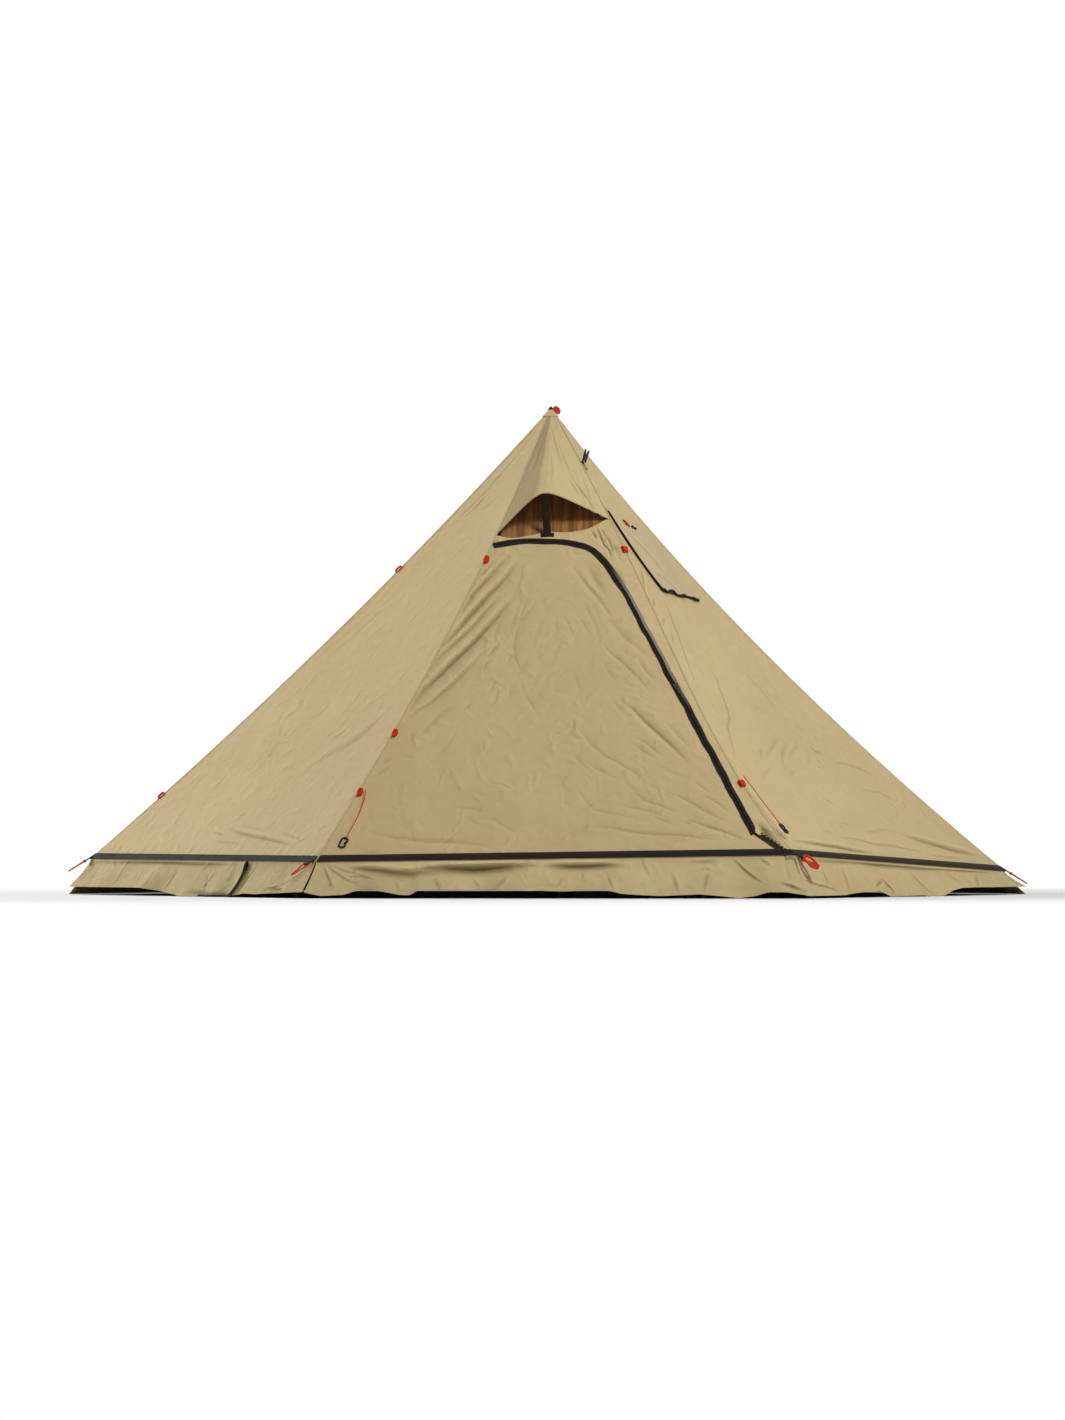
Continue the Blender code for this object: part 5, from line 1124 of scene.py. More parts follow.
def side_grids(side, rows, columns, folds, seed):
    shares = np.r_[np.linspace(PANEL_TOP_SHARE, 0.9, rows), np.linspace(0.9, 1.0, rows // 4)[1:]]
    widths = width_at(side, shares)
    across = np.array([edge_spots(width, columns) for width in widths])
    share = np.repeat(shares[:, None], across.shape[1], 1)
    flat = side_map(side, on_side(side, across, share))
    lines = crease_lines(folds, lambda line: side_map(side, on_side(side, *line.T)))
    rise, mark = folded(flat, lines, seed)
    near = np.minimum(across, 1 - across) * widths[:, None]
    hem = (1 - share) * SLANT
    # Cloth puckers a little where it is sewn at the ridges and over the hem band.
    pucker = 0.0009 * gathers(share * SLANT, 150, 23, 2) * hump(near, 0.012, 0.014)
    hem_pucker = 0.0010 * gathers(flat[..., 0], 130, 19, 2) * hump(hem, 0.045, 0.02)
    calm = smooth((near - 0.009) / 0.025) * smooth((hem - 0.030) / 0.012) * smooth((share - 0.02) / 0.06)
    seam = np.zeros_like(across)
    seam[:, :4] = SEAM_RISE
    seam[:, -4:] = SEAM_RISE[::-1]
    seam *= smooth((hem - 0.032) / 0.01) * smooth((share - 0.03) / 0.01)
    rise = rise * calm + pucker * smooth((hem - 0.03) / 0.04) * smooth((share - 0.05) / 0.05) + hem_pucker
    facing = facing_of(side)
    outer = on_side(side, across, share) + facing * (rise + seam)[..., None]
    inner = on_side(side, across, share, -CLOTH) + facing * rise[..., None]
    # A strip of painted shade runs along the folded seams at the ridges, lighter along a thin line inside it.
    mark = mark * calm + 0.26 * (1 - smooth((near - 0.014) / 0.008)) - 0.20 * hump(near, 0.009, 0.002)
    return outer, inner, flat, mark


def cut_opening(item, centre, facing, radius):
    """Cuts a round opening through a side."""
    bpy.ops.mesh.primitive_cylinder_add(vertices=96, radius=radius, depth=0.12)
    cutter = bpy.context.object
    cutter.matrix_world = Vector(facing).to_track_quat("Z", "Y").to_matrix().to_4x4()
    cutter.location = centre
    cut = item.modifiers.new("opening", "BOOLEAN")
    cut.operation, cut.object, cut.solver = "DIFFERENCE", cutter, "EXACT"
    applied(item)
    bpy.data.objects.remove(cutter, do_unlink=True)


def make_sides():
    plans = (
        ("left_front", 176, 184, LEFT_FRONT_FOLDS, 3),
        ("right_front", 176, 184, RIGHT_FRONT_FOLDS, 5),
        ("right_back", 130, 100, PLAIN_FOLDS, 7),
        ("back", 130, 100, PLAIN_FOLDS, 9),
        ("left_back", 130, 100, PLAIN_FOLDS, 11),
    )
    for side, rows, columns, folds, seed in plans:
        outer, inner, flat, mark = side_grids(side, rows, columns, folds, seed)
        item = Shape().sheet(outer, inner, flat, mark).piece(
            side + "_cloth", TAN, "tent", [side + "_panel"], slot="tan_polyester")
        if side == "right_front":
            cut_opening(item, flap_centre(), facing_of(side), PIPE_OPENING_RADIUS)


# Stove-pipe flap


def on_flap(across, down, out=0.0):
    across, down = np.broadcast_arrays(np.asarray(across, float), np.asarray(down, float))
    corners = {name: np.array(spot) for name, spot in FLAP_CORNERS.items()}
    top = blend(corners["top_left"], corners["top_right"], across)
    bottom = blend(corners["bottom_left"], corners["bottom_right"], across)
    spot = blend(top, bottom, down)
    lift = np.asarray(out, float)[..., None] * facing_of("right_front")
    return on_side("right_front", spot[..., 0], spot[..., 1]) + lift


def flap_centre():
    return on_flap(0.5, 0.55)


def make_flap():
    """The cover of the pipe opening: it bellies out a little and its foot is wavy."""
    rows, columns = 60, 70
    across, down = np.meshgrid(np.linspace(0, 1, columns), np.linspace(0, 1, rows))
    crown = FLAP_CROWN * 16 * across * (1 - across) * down * (1 - down)
    flat = side_map("right_front", on_flap(across, down))
    lines = crease_lines(FLAP_FOLDS, lambda line: side_map("right_front", on_flap(*line.T)))
    rise, mark = folded(flat, lines, 21)
    calm = smooth(np.minimum(np.minimum(across, 1 - across), np.minimum(down, 1 - down)) / 0.10)
    foot = 0.0035 * (1 + np.sin(across * 22 + 1.5)) * smooth((down - 0.75) / 0.25) * smooth(across / 0.05)
    out = LAP_GAP + FLAP_THICKNESS + crown + np.maximum(rise, -0.004) * calm + foot + 0.0015 * smooth(down / 0.1)
    wavy = down + 0.012 * np.sin(across * 15 + 0.6) * smooth((down - 0.8) / 0.2) * smooth(across * (1 - across) * 8)
    outer, inner = on_flap(across, wavy, out), on_flap(across, wavy, out - FLAP_THICKNESS * 0.8)
    flap = Shape().sheet(outer, inner, flat, mark * calm).piece(
        "pipe_flap", TAN_FLAP, "stove_flap_leaf", ["stove_flap"], slot="tan_flap_cloth")
    # The binding folds round the left edge and the foot, and thickens towards its end.
    edge = np.concatenate((outer[3:, 0], outer[-1, 1:]))
    inward = unit(np.concatenate((outer[3:, 1], outer[-2, 1:])) - edge)
    inward[rows - 4] = unit(inward[rows - 5] + inward[rows - 3])
    thick = 1 + 0.6 * smooth(np.linspace(-40, 1, len(edge)))[:, None]
    facing = facing_of("right_front")
    rings = np.stack([edge + inward * x * thick + facing * y * thick for x, y in BINDING_PROFILE], 1)
    binding = Shape().band(rings, np.arange(len(BINDING_PROFILE)) * 0.002, edge).piece(
        "pipe_flap_binding", BLACK_WEBBING, "stove_flap_leaf", ["stove_flap_binding"], slot="black_webbing")


def make_patch():
    """The heat-proof patch behind the opening, with its hole for the pipe and two rows of stitches."""
    facing = facing_of("right_front")
    level, slope = side_axes("right_front")
    turns = 2 * math.pi * np.arange(72) / 72
    stretch = np.minimum(1 / np.maximum(np.abs(np.cos(turns)), np.abs(np.sin(turns))), 1.35) - 1

    def ring(radius, square, depth):
        reach = radius * (1 + stretch * square)
        around = level * (reach * np.cos(turns))[:, None] + slope * (reach * np.sin(turns))[:, None]
        return flap_centre() + around - facing * depth

    rings = np.array([ring(radius, square, 0.0062) for radius, square in PATCH_RINGS])
    rings = np.concatenate((rings, rings[:, :1]), 1)
    patch = Shape().sheet(rings, rings - facing * 0.0018, side_map("right_front", rings))
    for radius in (0.060, 0.066):
        patch.tube(ring(radius, 0.0, 0.0060), 0.0006, 6, True, 1)
    patch = patch.piece("heat_patch", [HEAT_CLOTH, DARK_THREAD], "tent", ["stove_jack_patch"], slot="grey_heat_cloth")


# The front: door, surround, hood and window


def front_sheet(name, outline, spacing, folds, seed, body, replaces):
    """A flat-cut piece of the front face, filled with small triangles and creased."""
    lines = crease_lines(folds, lambda line: line * FRONT_SCALE)
    flat, faces = filled(outline, spacing, lines)
    rise, mark = folded(flat, lines, seed)
    gap = np.full(len(flat), np.inf)
    for start, end in zip(outline, np.roll(outline, -1, 0)):
        run = end - start
        reach = np.clip((flat - start) @ run / (run @ run), 0, 1)
        gap = np.minimum(gap, np.linalg.norm(flat - start - reach[:, None] * run, axis=1))
    calm = smooth((gap - 0.002) / 0.022)
    waves = np.sin(flat[:, 1] * 160 + 3 * np.sin(flat[:, 1] * 21) + flat[:, 0] * 60)
    pucker = 0.0010 * waves * hump(gap, 0.016, 0.013)
    out = rise * calm + pucker
    outer, inner = front(flat, out), front(flat, out - CLOTH)
    size = len(flat)
    ends = np.sort(np.concatenate((faces[:, [0, 1]], faces[:, [1, 2]], faces[:, [2, 0]])), axis=1)
    keys, counts = np.unique(ends, axis=0, return_counts=True)
    single = {tuple(pair) for pair in keys[counts == 1].tolist()}
    rim = []
    for face in faces.tolist():
        for here, there in zip(face, face[1:] + face[:1]):
            if (min(here, there), max(here, there)) in single:
                rim.append((there, here, here + size, there + size))
    mark = mark * smooth(gap / 0.005)
    shape = Shape().add(np.vstack((outer, inner)), [faces, faces[:, ::-1] + size, np.array(rim)],
                        np.vstack((flat, flat)), np.r_[mark, mark])
    # The door is cut from the darker copy of the tan cloth, which is painted shade.
    return shape.piece(name, TAN_DOOR_PAINTED_SHADE if body == "door" else TAN, body, replaces, slot="tan_polyester")


def ridge_line(name, high_up, low_up, count, inset):
    """The front face's edge along a ridge, as flat points, between two shares from the apex."""
    return front_flat(ridge(name, np.linspace(high_up, low_up, count))) + (inset, 0)


def make_door_and_surround():
    edge = door_edge(-ZIP_CLOTH_SETBACK)
    hinge = ridge_line("front_left", 1 - edge[0, 1] / FACE_LENGTH, 1.0, 60, SEAM_GAP)
    hem = np.linspace(edge[-1], hinge[-1], 80)[1:-1]
    outline = np.vstack((edge[1:], hem, hinge[::-1]))
    door = front_sheet("door_cloth", outline, 0.012, DOOR_FOLDS, 31, "door", ["door_panel"])

    edge = door_edge(ZIP_CLOTH_SETBACK)
    window = curve_through(np.array(WINDOW_EDGE) * FRONT_SCALE, 90)
    for line in (edge, window):
        line[0] = front_flat(ridge("front_left", 1 - line[0, 1] / FACE_LENGTH)) + (SEAM_GAP, 0)
    side = ridge_line("front_right", 1 - WINDOW_EDGE[-1][1], 1.0, 120, -SEAM_GAP)
    outline = np.vstack((edge, side[::-1], window[::-1]))
    surround = front_sheet("door_surround", outline, 0.0075, SURROUND_FOLDS, 33, "tent", ["front_surround"])


def hood_points(across, share, depth=0.0):
    """Points of the hood: across between the front ridges, share from its top to its free edge."""
    across, share = np.broadcast_arrays(np.asarray(across, float), np.asarray(share, float))
    left = ridge("front_left", PANEL_TOP_SHARE + (HOOD_LEFT_SHARE - PANEL_TOP_SHARE) * share)
    right = ridge("front_right", PANEL_TOP_SHARE + (HOOD_RIGHT_SHARE - PANEL_TOP_SHARE) * share)
    width = np.linalg.norm(right - left, axis=-1)
    edge = SEAM_GAP / 2 / width
    spot = edge + (1 - 2 * edge) * across
    top = (ridge("front_left", PANEL_TOP_SHARE) + ridge("front_right", PANEL_TOP_SHARE)) / 2
    peak = front((HOOD_PEAK[0], HOOD_PEAK[1] * FACE_LENGTH))
    lift = np.maximum(share - HOOD_FLAT_SHARE, 0) / (1 - HOOD_FLAT_SHARE)
    fold = blend(top, peak, share) + FRONT_OUT * (HOOD_PEAK[2] * lift)[..., None]
    x = 2 * spot - 1
    widest = np.hypot(1, HOOD_ROUNDING)
    crown = (widest - np.hypot(x, HOOD_ROUNDING)) / (widest - HOOD_ROUNDING)
    points = blend(left, right, spot) + (fold - (left + right) / 2) * crown[..., None]
    if not np.any(depth):
        return points
    facing = blend(mitre("front_left"), mitre("front_right"), spot)
    rise = np.linalg.norm(fold - (left + right) / 2, axis=-1) / (width / 2)
    lean = np.minimum(np.hypot(1, rise), 2.0)
    return points - facing * (depth * (1 + (lean - 1) * (1 - np.abs(x))))[..., None]


def grid_normals(grid):
    down, across = np.gradient(grid, axis=0), np.gradient(grid, axis=1)
    normals = unit(np.cross(across, down))
    return normals if np.mean(normals @ FRONT_OUT) > 0 else -normals


def make_hood():
    across, share = np.meshgrid(np.linspace(0, 1, 110), np.linspace(0, 1, 80))
    grid = hood_points(across, share)
    normals = grid_normals(grid)
    edge = np.minimum(across, 1 - across)
    calm = smooth(edge / 0.08) * smooth(share / 0.2)
    spots = np.stack((across, share), -1) * HOOD_SPAN
    rise, mark = folded(spots, crease_lines(HOOD_FOLDS, lambda line: line * HOOD_SPAN), 41)
    ripples = 0.0022 * np.sin(across * 95 + share * 9) * hump(across, 0.90, 0.07) * smooth((share - 0.45) / 0.4)
    rise = (rise * smooth((1 - share) / 0.08) + ripples) * calm
    # The left facet gets painted shade, and so do the troughs of the ripples near the right edge.
    facet = 0.85 * smooth((0.47 - across + 0.015 * np.sin(share * 17)) / 0.09)
    mark = np.maximum((mark + np.clip(-ripples / 0.0045, 0, 1)) * calm, facet)
    # The free edge is turned over into a hem.
    hem = 0.0009 * (1 - smooth((np.abs((1 - share) * 0.55 - 0.006) - 0.005) / 0.002)) * smooth(edge / 0.01)
    outer = grid + normals * (rise + hem)[..., None]
    inner = hood_points(across, share, CLOTH) + normals * rise[..., None]
    hood = Shape().sheet(outer, inner, front_flat(grid), mark).piece(
        "vent_hood_cloth", TAN, "tent", ["vent_hood"], slot="tan_polyester")


def make_window():
    edge = curve_through(np.array(WINDOW_EDGE) * FRONT_SCALE, 60)
    left = front_flat(ridge("front_left", np.array([HOOD_LEFT_SHARE, 1 - WINDOW_TOP_SHARE])))
    right = front_flat(ridge("front_right", np.array([1 - WINDOW_TOP_SHARE])))
    across = np.linspace(0, 1, 60)
    bottom = even(edge - (0, 0.009), 60)
    bottom[0, 0] = max(bottom[0, 0], left[0, 0] + NET_MARGIN)
    top = blend(left[1] + (NET_MARGIN, 0), right[0] - (NET_MARGIN, 0), across)
    up = np.linspace(0, 1, 44)[:, None, None]
    flat = top[None] * (1 - up) + bottom[None] * up
    # The net hangs a little slack, in soft upright pleats.
    sag = 0.0045 * np.sin(math.pi * across)[None] * np.sin(math.pi * up[..., 0])
    pleats = 0.0014 * np.sin(across * 52 + 2 * np.sin(across * 9))[None] * np.sin(math.pi * up[..., 0])
    back = -CLOTH - TOUCH_GAP - 0.0004 - sag - np.abs(pleats)
    outer, inner = front(flat, back), front(flat, back - 0.0008)
    net = Shape().sheet(outer, inner, flat).piece("vent_net", NET, "tent", ["vent_mesh"], slot="brown_mesh")


def ribbon(shape, path, sideways, width, thickness):
    """A flat strap with softly rounded edges along a path."""
    path = np.asarray(path, float)
    run = unit(np.gradient(path, axis=0))
    sideways = unit(np.broadcast_to(sideways, path.shape))
    up = unit(np.cross(run, sideways))
    upper = ((-1, 0), (-0.96, 0.8), (-0.86, 1), (0, 1.05), (0.86, 1), (0.96, 0.8))
    profile = np.array(upper + tuple((-x, -y) for x, y in upper)) * (width / 2, thickness / 2)
    rings = np.stack([path + sideways * x + up * y for x, y in profile], 1)
    return shape.band(rings, profile[:, 0], path)


def make_prop():
    """The short stiff strap that holds the hood out, and the patch that its foot is sewn on."""
    across, up = PROP_FOOT[0], PROP_FOOT[1] * FACE_LENGTH
    patch_out = PROP_PATCH_THICKNESS
    foot_out = 2 * (TOUCH_GAP + patch_out)
    head = front((HOOD_PEAK[0], HOOD_PEAK[1] * FACE_LENGTH), HOOD_PEAK[2] - 0.0080)
    bend = front((across, up + 0.007), foot_out + PROP_THICKNESS)
    toe = front((across, up - 0.007), foot_out)
    heel = front((across, up + 0.0046), foot_out + 0.0006)
    middle = (head + bend) / 2 + FRONT_UP * 0.008
    high, low = (head + middle) / 2 + FRONT_UP * 0.002, middle * 0.4 + bend * 0.6 + FRONT_UP * 0.002
    path = curve_through((head, high, middle, low, bend, heel, toe), 60)
    ribbon(Shape(), path, FRONT_ACROSS, PROP_WIDTH, PROP_THICKNESS).piece(
        "vent_prop_strap", BLACK_WEBBING, "vent_prop", ["vent_prop"], slot="black_webbing")
    patch = np.linspace(*(front((across + side * PROP_PATCH_WIDTH / 2, up), patch_out) for side in (-1, 1)), 24)
    ribbon(Shape(), patch, FRONT_UP, PROP_PATCH_HEIGHT, patch_out).piece(
        "vent_prop_base", BLACK_WEBBING, "tent", ["vent_prop_patch"], slot="black_webbing")


# What repeats along a path: stitches and the zip's coil


def row_tree(name, sizes):
    """A tree that takes a path of edges with an `out` attribute, and gives an even row of copies."""
    inputs = (("Geometry", "Geometry", None), *((*size[:1], "Float", *size[1:]) for size in sizes),
              ("Material", "Material", None))
    tree, given = new_group(name, inputs, ("Geometry",), "Geometry", "Geometry")
    line = node(tree, "GeometryNodeMeshToCurve", {0: given["Geometry"]})
    even_line = node(tree, "GeometryNodeResampleCurve", {
        "Curve": line.outputs[0], "Length": given["Pitch"]}, mode="LENGTH")
    outward = node(tree, "GeometryNodeInputNamedAttribute", {"Name": "out"}, data_type="FLOAT_VECTOR")
    tangent = node(tree, "GeometryNodeInputTangent")
    along = node(tree, "FunctionNodeAlignRotationToVector", {"Vector": tangent.outputs[0]}, axis="X")
    turned = node(tree, "FunctionNodeAlignRotationToVector", {
        "Rotation": along.outputs[0], "Vector": outward.outputs[0]}, axis="Z", pivot_axis="X")
    spread = node(tree, "GeometryNodeInstanceOnPoints", {
        "Points": even_line.outputs[0], "Rotation": turned.outputs[0]})
    real = node(tree, "GeometryNodeRealizeInstances", {0: spread.outputs[0]})
    paint = node(tree, "GeometryNodeSetMaterial", {"Geometry": real.outputs[0], "Material": given["Material"]})
    return ended(tree, Geometry=paint.outputs[0]), given, spread


def make_stitch_tree():
    tree, given, spread = row_tree(
        "stitch_row", (("Pitch", 0.0052), ("Stitch Length", 0.0036), ("Thread Radius", 0.00042)))
    thread = node(tree, "GeometryNodeMeshCylinder", {
        "Vertices": 5, "Side Segments": 1, "Radius": given["Thread Radius"], "Depth": given["Stitch Length"]})
    lying = node(tree, "GeometryNodeTransform", {
        "Geometry": thread.outputs[0], "Rotation": (0.0, math.pi / 2, 0.0), "Scale": (1.0, 1.0, 0.7)})
    join(tree, spread, {"Instance": lying.outputs[0]})
    return tree


def make_coil_tree():
    tree, given, spread = row_tree(
        "zip_coil", (("Pitch", 0.0021), ("Loop Width", 0.0040), ("Loop Height", 0.0026), ("Wire Radius", 0.00055)))
    width, height = given["Loop Width"], given["Loop Height"]
    half_pitch = calc(tree, "MULTIPLY", given["Pitch"], 0.5)
    loop = node(tree, "GeometryNodeCurvePrimitiveBezierSegment", {"Resolution": 6}, mode="POSITION")
    for socket, place in (
        ("Start", {1: width}), ("Start Handle", {2: height}),
        ("End Handle", {0: half_pitch, 2: height}), ("End", {0: half_pitch, 1: width}),
    ):
        join(tree, loop, {socket: node(tree, "ShaderNodeCombineXYZ", place).outputs[0]})
    wire = node(tree, "GeometryNodeCurvePrimitiveCircle", {
        "Resolution": 5, "Radius": given["Wire Radius"]}, mode="RADIUS")
    solid = node(tree, "GeometryNodeCurveToMesh", {0: loop.outputs[0], 1: wire.outputs[0], "Fill Caps": True})
    join(tree, spread, {"Instance": solid.outputs[0]})
    return tree


STITCH_ROW, ZIP_COIL = make_stitch_tree(), make_coil_tree()


def rows_along(name, tree, paths, body, material, slot, **sizes):
    """Runs a tree over paths given as (points, outward) and keeps the result as one plain piece."""
    points = np.concatenate([path for path, _ in paths])
    outs = np.concatenate([np.broadcast_to(out, path.shape) for path, out in paths])
    edges, start = [], 0
    for path, _ in paths:
        edges += [(start + step, start + step + 1) for step in range(len(path) - 1)]
        start += len(path)
    mesh = bpy.data.meshes.new(name + "_path")
    mesh.from_pydata(points.tolist(), edges, [])
    layer = mesh.attributes.new("out", "FLOAT_VECTOR", "POINT")
    layer.data.foreach_set("vector", outs.astype(np.float32).ravel())
    item = added(name, mesh)
    row = item.modifiers.new("row", "NODES")
    row.node_group = tree
    for socket in tree.interface.items_tree:
        if socket.in_out == "INPUT" and socket.name == "Material":
            row[socket.identifier] = material
        elif socket.in_out == "INPUT" and socket.name in sizes:
            row[socket.identifier] = sizes[socket.name]
    applied(item).shade_smooth()
    return settle(item, body, ())


def make_zip():
    route = zip_route(420)
    aside = aside_of(route)
    # The surround's tape runs on below the zip, ragged, to the hem.
    tail = even(np.array((route[-1], (DOOR_HEM_SHARE * HALF_HEM - 0.006, 0.010))), 40)[1:]
    for name, sign, body, node_name, material, whole in (
        ("zip_surround_side", 1, "tent", "zip_frame_tape", ZIP_TAPE_PAINTED_HIGHLIGHT, np.vstack((route, tail))),
        ("zip_door_side", -1, "door", "zip_door_tape", ZIP_TAPE, route),
    ):
        step = np.arange(len(whole))
        ragged = -0.45 + 0.45 * np.sin(step * 1.9) * np.sin(step * 0.53)
        wave = 1 + 0.06 * np.sin(step / 6) * np.sin(step / 17) - (step >= len(route)) * ragged
        beside = aside_of(whole) * sign
        rings = [front(whole + beside * (x * wave)[:, None], TOUCH_GAP + y) for x, y in ZIP_PROFILE]
        Shape().band(np.stack(rings, 1), np.array(ZIP_PROFILE)[:, 0], whole).piece(
            name, material, body, [node_name], slot="black_zip_tape")
        # The loops reach from the tape's cord to the middle; the path lies on the middle line.
        middle = (route + aside * sign * 0.0003)[::sign][2:-2]
        rows_along(name + "_coil", ZIP_COIL, [(front(middle, TOUCH_GAP + 0.0006), FRONT_OUT)],
                   body, NYLON_COIL, "black_zip_tape")
        seams = [(front(route + aside * sign * x, TOUCH_GAP + y), FRONT_OUT) for x, y in ZIP_SEAMS]
        rows_along(name + "_stitches", STITCH_ROW, seams, body, DARK_THREAD, "black_zip_tape", Pitch=0.0048)


def softened(name, node_name, material, body, width, slot, swell=0.0):
    """A copy of a hard CAD piece, a little fuller where asked, with its edges rounded."""
    item = added(name, frame["nodes"][node_name].data.copy())
    item.data.materials.clear()
    item.data.materials.append(material)
    work = bmesh.new()
    work.from_mesh(item.data)
    bmesh.ops.remove_doubles(work, verts=work.verts, dist=1e-5)
    bmesh.ops.dissolve_limit(work, angle_limit=math.radians(2.0), verts=work.verts, edges=work.edges)
    bmesh.ops.recalc_face_normals(work, faces=work.faces)
    work.normal_update()
    for vertex, way in [(vertex, vertex.normal.copy()) for vertex in work.verts]:
        vertex.co += way * swell
    work.to_mesh(item.data)
    work.free()
    item.data.shade_smooth()
    rounding = item.modifiers.new("rounding", "BEVEL")
    rounding.width, rounding.segments, rounding.limit_method = width, 3, "ANGLE"
    rounding.angle_limit = math.radians(30)
    applied(item).set_sharp_from_angle(angle=math.radians(50))
    return settle(item, body, [node_name])


def make_small_pieces():
    """Each with its CAD node, finish, body, edge rounding, slot, and how much fuller it is."""
    flap = "stove_flap_leaf"
    for piece in (
        ("zip_slider_body", "zip_slider", ZINC, "zip_slider", 0.0005, "zinc_slider"),
        ("zip_pull_tab", "zip_pull", ZINC, "zip_pull", 0.0004, "zinc_slider"),
        ("hanging_clip_body", "flap_hanging_clip", BLACK_PLASTIC, "hanging_clip", 0.0009, "black_plastic", 0.0016),
        ("flap_toggle_bar", "flap_toggle", BLACK_PLASTIC, flap, 0.0005, "black_plastic", 0.0010),
        ("apex_reinforcement", "apex_cap", TAN, "tent", 0.0010, "tan_polyester"),
        ("apex_webbing_tip", "apex_tip", BLACK_WEBBING, "tent", 0.0008, "black_webbing"),
        ("apex_hanging_loop", "apex_loop", RED_CORD, "tent", 0.0003, "red_webbing", 0.0032),
        ("clip_holding_tab", "clip_tab", TAN_FLAP, "tent", 0.0006, "tan_polyester"),
        ("flap_red_tie", "flap_tie_tab", RED_WEBBING, flap, 0.0006, "red_webbing"),
    ):
        softened(*piece)


# Webbing tabs, hem bands, corner straps and their elastic loops


def make_tabs():
    tabs = [(name, "tent", ridge_frame(*place), RIDGE_LOOP_THICKNESS) for name, place in RIDGE_TABS.items()]
    tabs += [(name, "door", door_tab_frame(share), DOOR_LOOP_THICKNESS) for name, share in DOOR_TABS.items()]
    for name, body, axes, thickness in tabs:
        Shape().prism(*fold_outlines(thickness), axes, TAB_WIDTH).piece(
            name.replace("_tab", "_loop"), RED_WEBBING, body, [name], slot="red_webbing")


def hem_out(up, bulge):
    """How far the hem band stands out at shares up it: its own thickness, and its roll."""
    thickness = HEM_BAND_THICKNESS * (0.55 + 0.45 * np.sin(math.pi * np.clip(up, 0.04, 0.96)) ** 0.5)
    return TOUCH_GAP + thickness + bulge * np.sin(math.pi * up) ** 1.5


def hem_bulge(near, start, length):
    """The band's roll, which tapers to its ends."""
    return 0.0016 + 0.0029 * smooth((near - start) / length)


def band_stitches(name, rows, body):
    """Two rows of stitches along a band, given as paths with their outward ways."""
    rows_along(name, STITCH_ROW, [(path + out * 0.0002, out) for path, out in rows],
               body, DARK_THREAD, "black_webbing", Pitch=0.0062)


def make_hem():
    shape = Shape()
    up = np.linspace(0, 1, 9)[:, None]
    share = 1 - up * HEM_BAND / np.linalg.norm(APEX - corner("back_left"))
    outer, inner, flats, reach = [], [], [], 0.0
    # The band starts a little round the front right corner and goes about the tent to the front left one.
    for side, start, end, count in (
        ("front", width_of("front") - HEM_RETURN, 0.0003, 12), ("right_front", 0.0003, 0.0003, 120),
        ("right_back", 0.0003, 0.0003, 120), ("back", 0.0003, 0.0003, 120), ("left_back", 0.0003, 0.0003, 120),
        ("left_front", 0.0003, HEM_HINGE_GAP, 120),
    ):
        width = width_of(side)
        across = np.linspace(start / width, 1 - end / width, count)
        out = hem_out(up, hem_bulge(np.minimum(across, 1 - across) * width, 0.02, 0.06))
        outer.append(on_side(side, across[None], share, out))
        inner.append(on_side(side, across[None], share, np.full_like(out, TOUCH_GAP)))
        flats.append(np.stack(np.broadcast_arrays(up * HEM_BAND, reach + across * width), -1))
        reach += width
    outer, inner, flats = (np.concatenate(rows, 1) for rows in (outer, inner, flats))
    shape.sheet(outer, inner, flats)
    for name in RIDGES:
        strap_shape(shape, name)
    shape.piece("hem_band", BLACK_WEBBING, "tent", ["hem_webbing"], slot="black_webbing")
    band_stitches("hem_stitches", [
        (outer[row], unit(np.cross(np.gradient(outer[row], axis=0), (0, 0, -1)))) for row in (1, 7)], "tent")


def make_door_hem():
    edge = door_edge(-ZIP_CLOTH_SETBACK)
    up = np.linspace(0, 1, 9)
    left = front_flat(ridge("front_left", 1 - up * HEM_BAND / RIDGE_LENGTH)) + (HEM_HINGE_GAP, 0)
    climb = (edge[-2] - edge[-1]) / (edge[-2, 1] - edge[-1, 1])
    right = edge[-1] - (0.003, 0) + climb * (up * HEM_BAND)[:, None]
    left[:, 1] = right[:, 1]
    across = np.linspace(0, 1, 160)[None, :, None]
    flat = left[:, None] * (1 - across) + right[:, None] * across
    out = hem_out(up[:, None], hem_bulge(across[..., 0], 0.02, 0.05))
    outer, inner = front(flat, out), front(flat, np.full_like(out, TOUCH_GAP))
    Shape().sheet(outer, inner, flat[..., ::-1]).piece(
        "door_hem_band", BLACK_WEBBING, "door", ["door_hem_webbing"], slot="black_webbing")
    band_stitches("door_hem_stitches", [(outer[row], FRONT_OUT) for row in (1, 7)], "door")


def eye_frame(name):
    """Axes of a corner strap: its root on the band, then the way out and down, level, and its own up."""
    foot = corner(name)
    radial = unit((foot[0], foot[1], 0))
    for side, ends in SIDES.items():
        if side != "front" and name in ends and name.startswith("front"):
            reach = STRAP_WIDTH * 0.8 / width_of(side)
            foot = on_side(side, reach if ends[0] == name else 1 - reach, 1.0)
            radial = level_out(side)
    level = np.cross(UP, radial)
    droop = math.radians(STRAP_DROOP_DEGREES)
    out = radial * math.cos(droop) - UP * math.sin(droop)
    up = np.cross(out, level)
    up = up if up[2] > 0 else -up
    slope = unit(APEX - corner(name))
    root = foot + slope * HEM_BAND * 0.4 + unit(mitre(name)) * (TOUCH_GAP + 0.001)
    return root, out, level, up


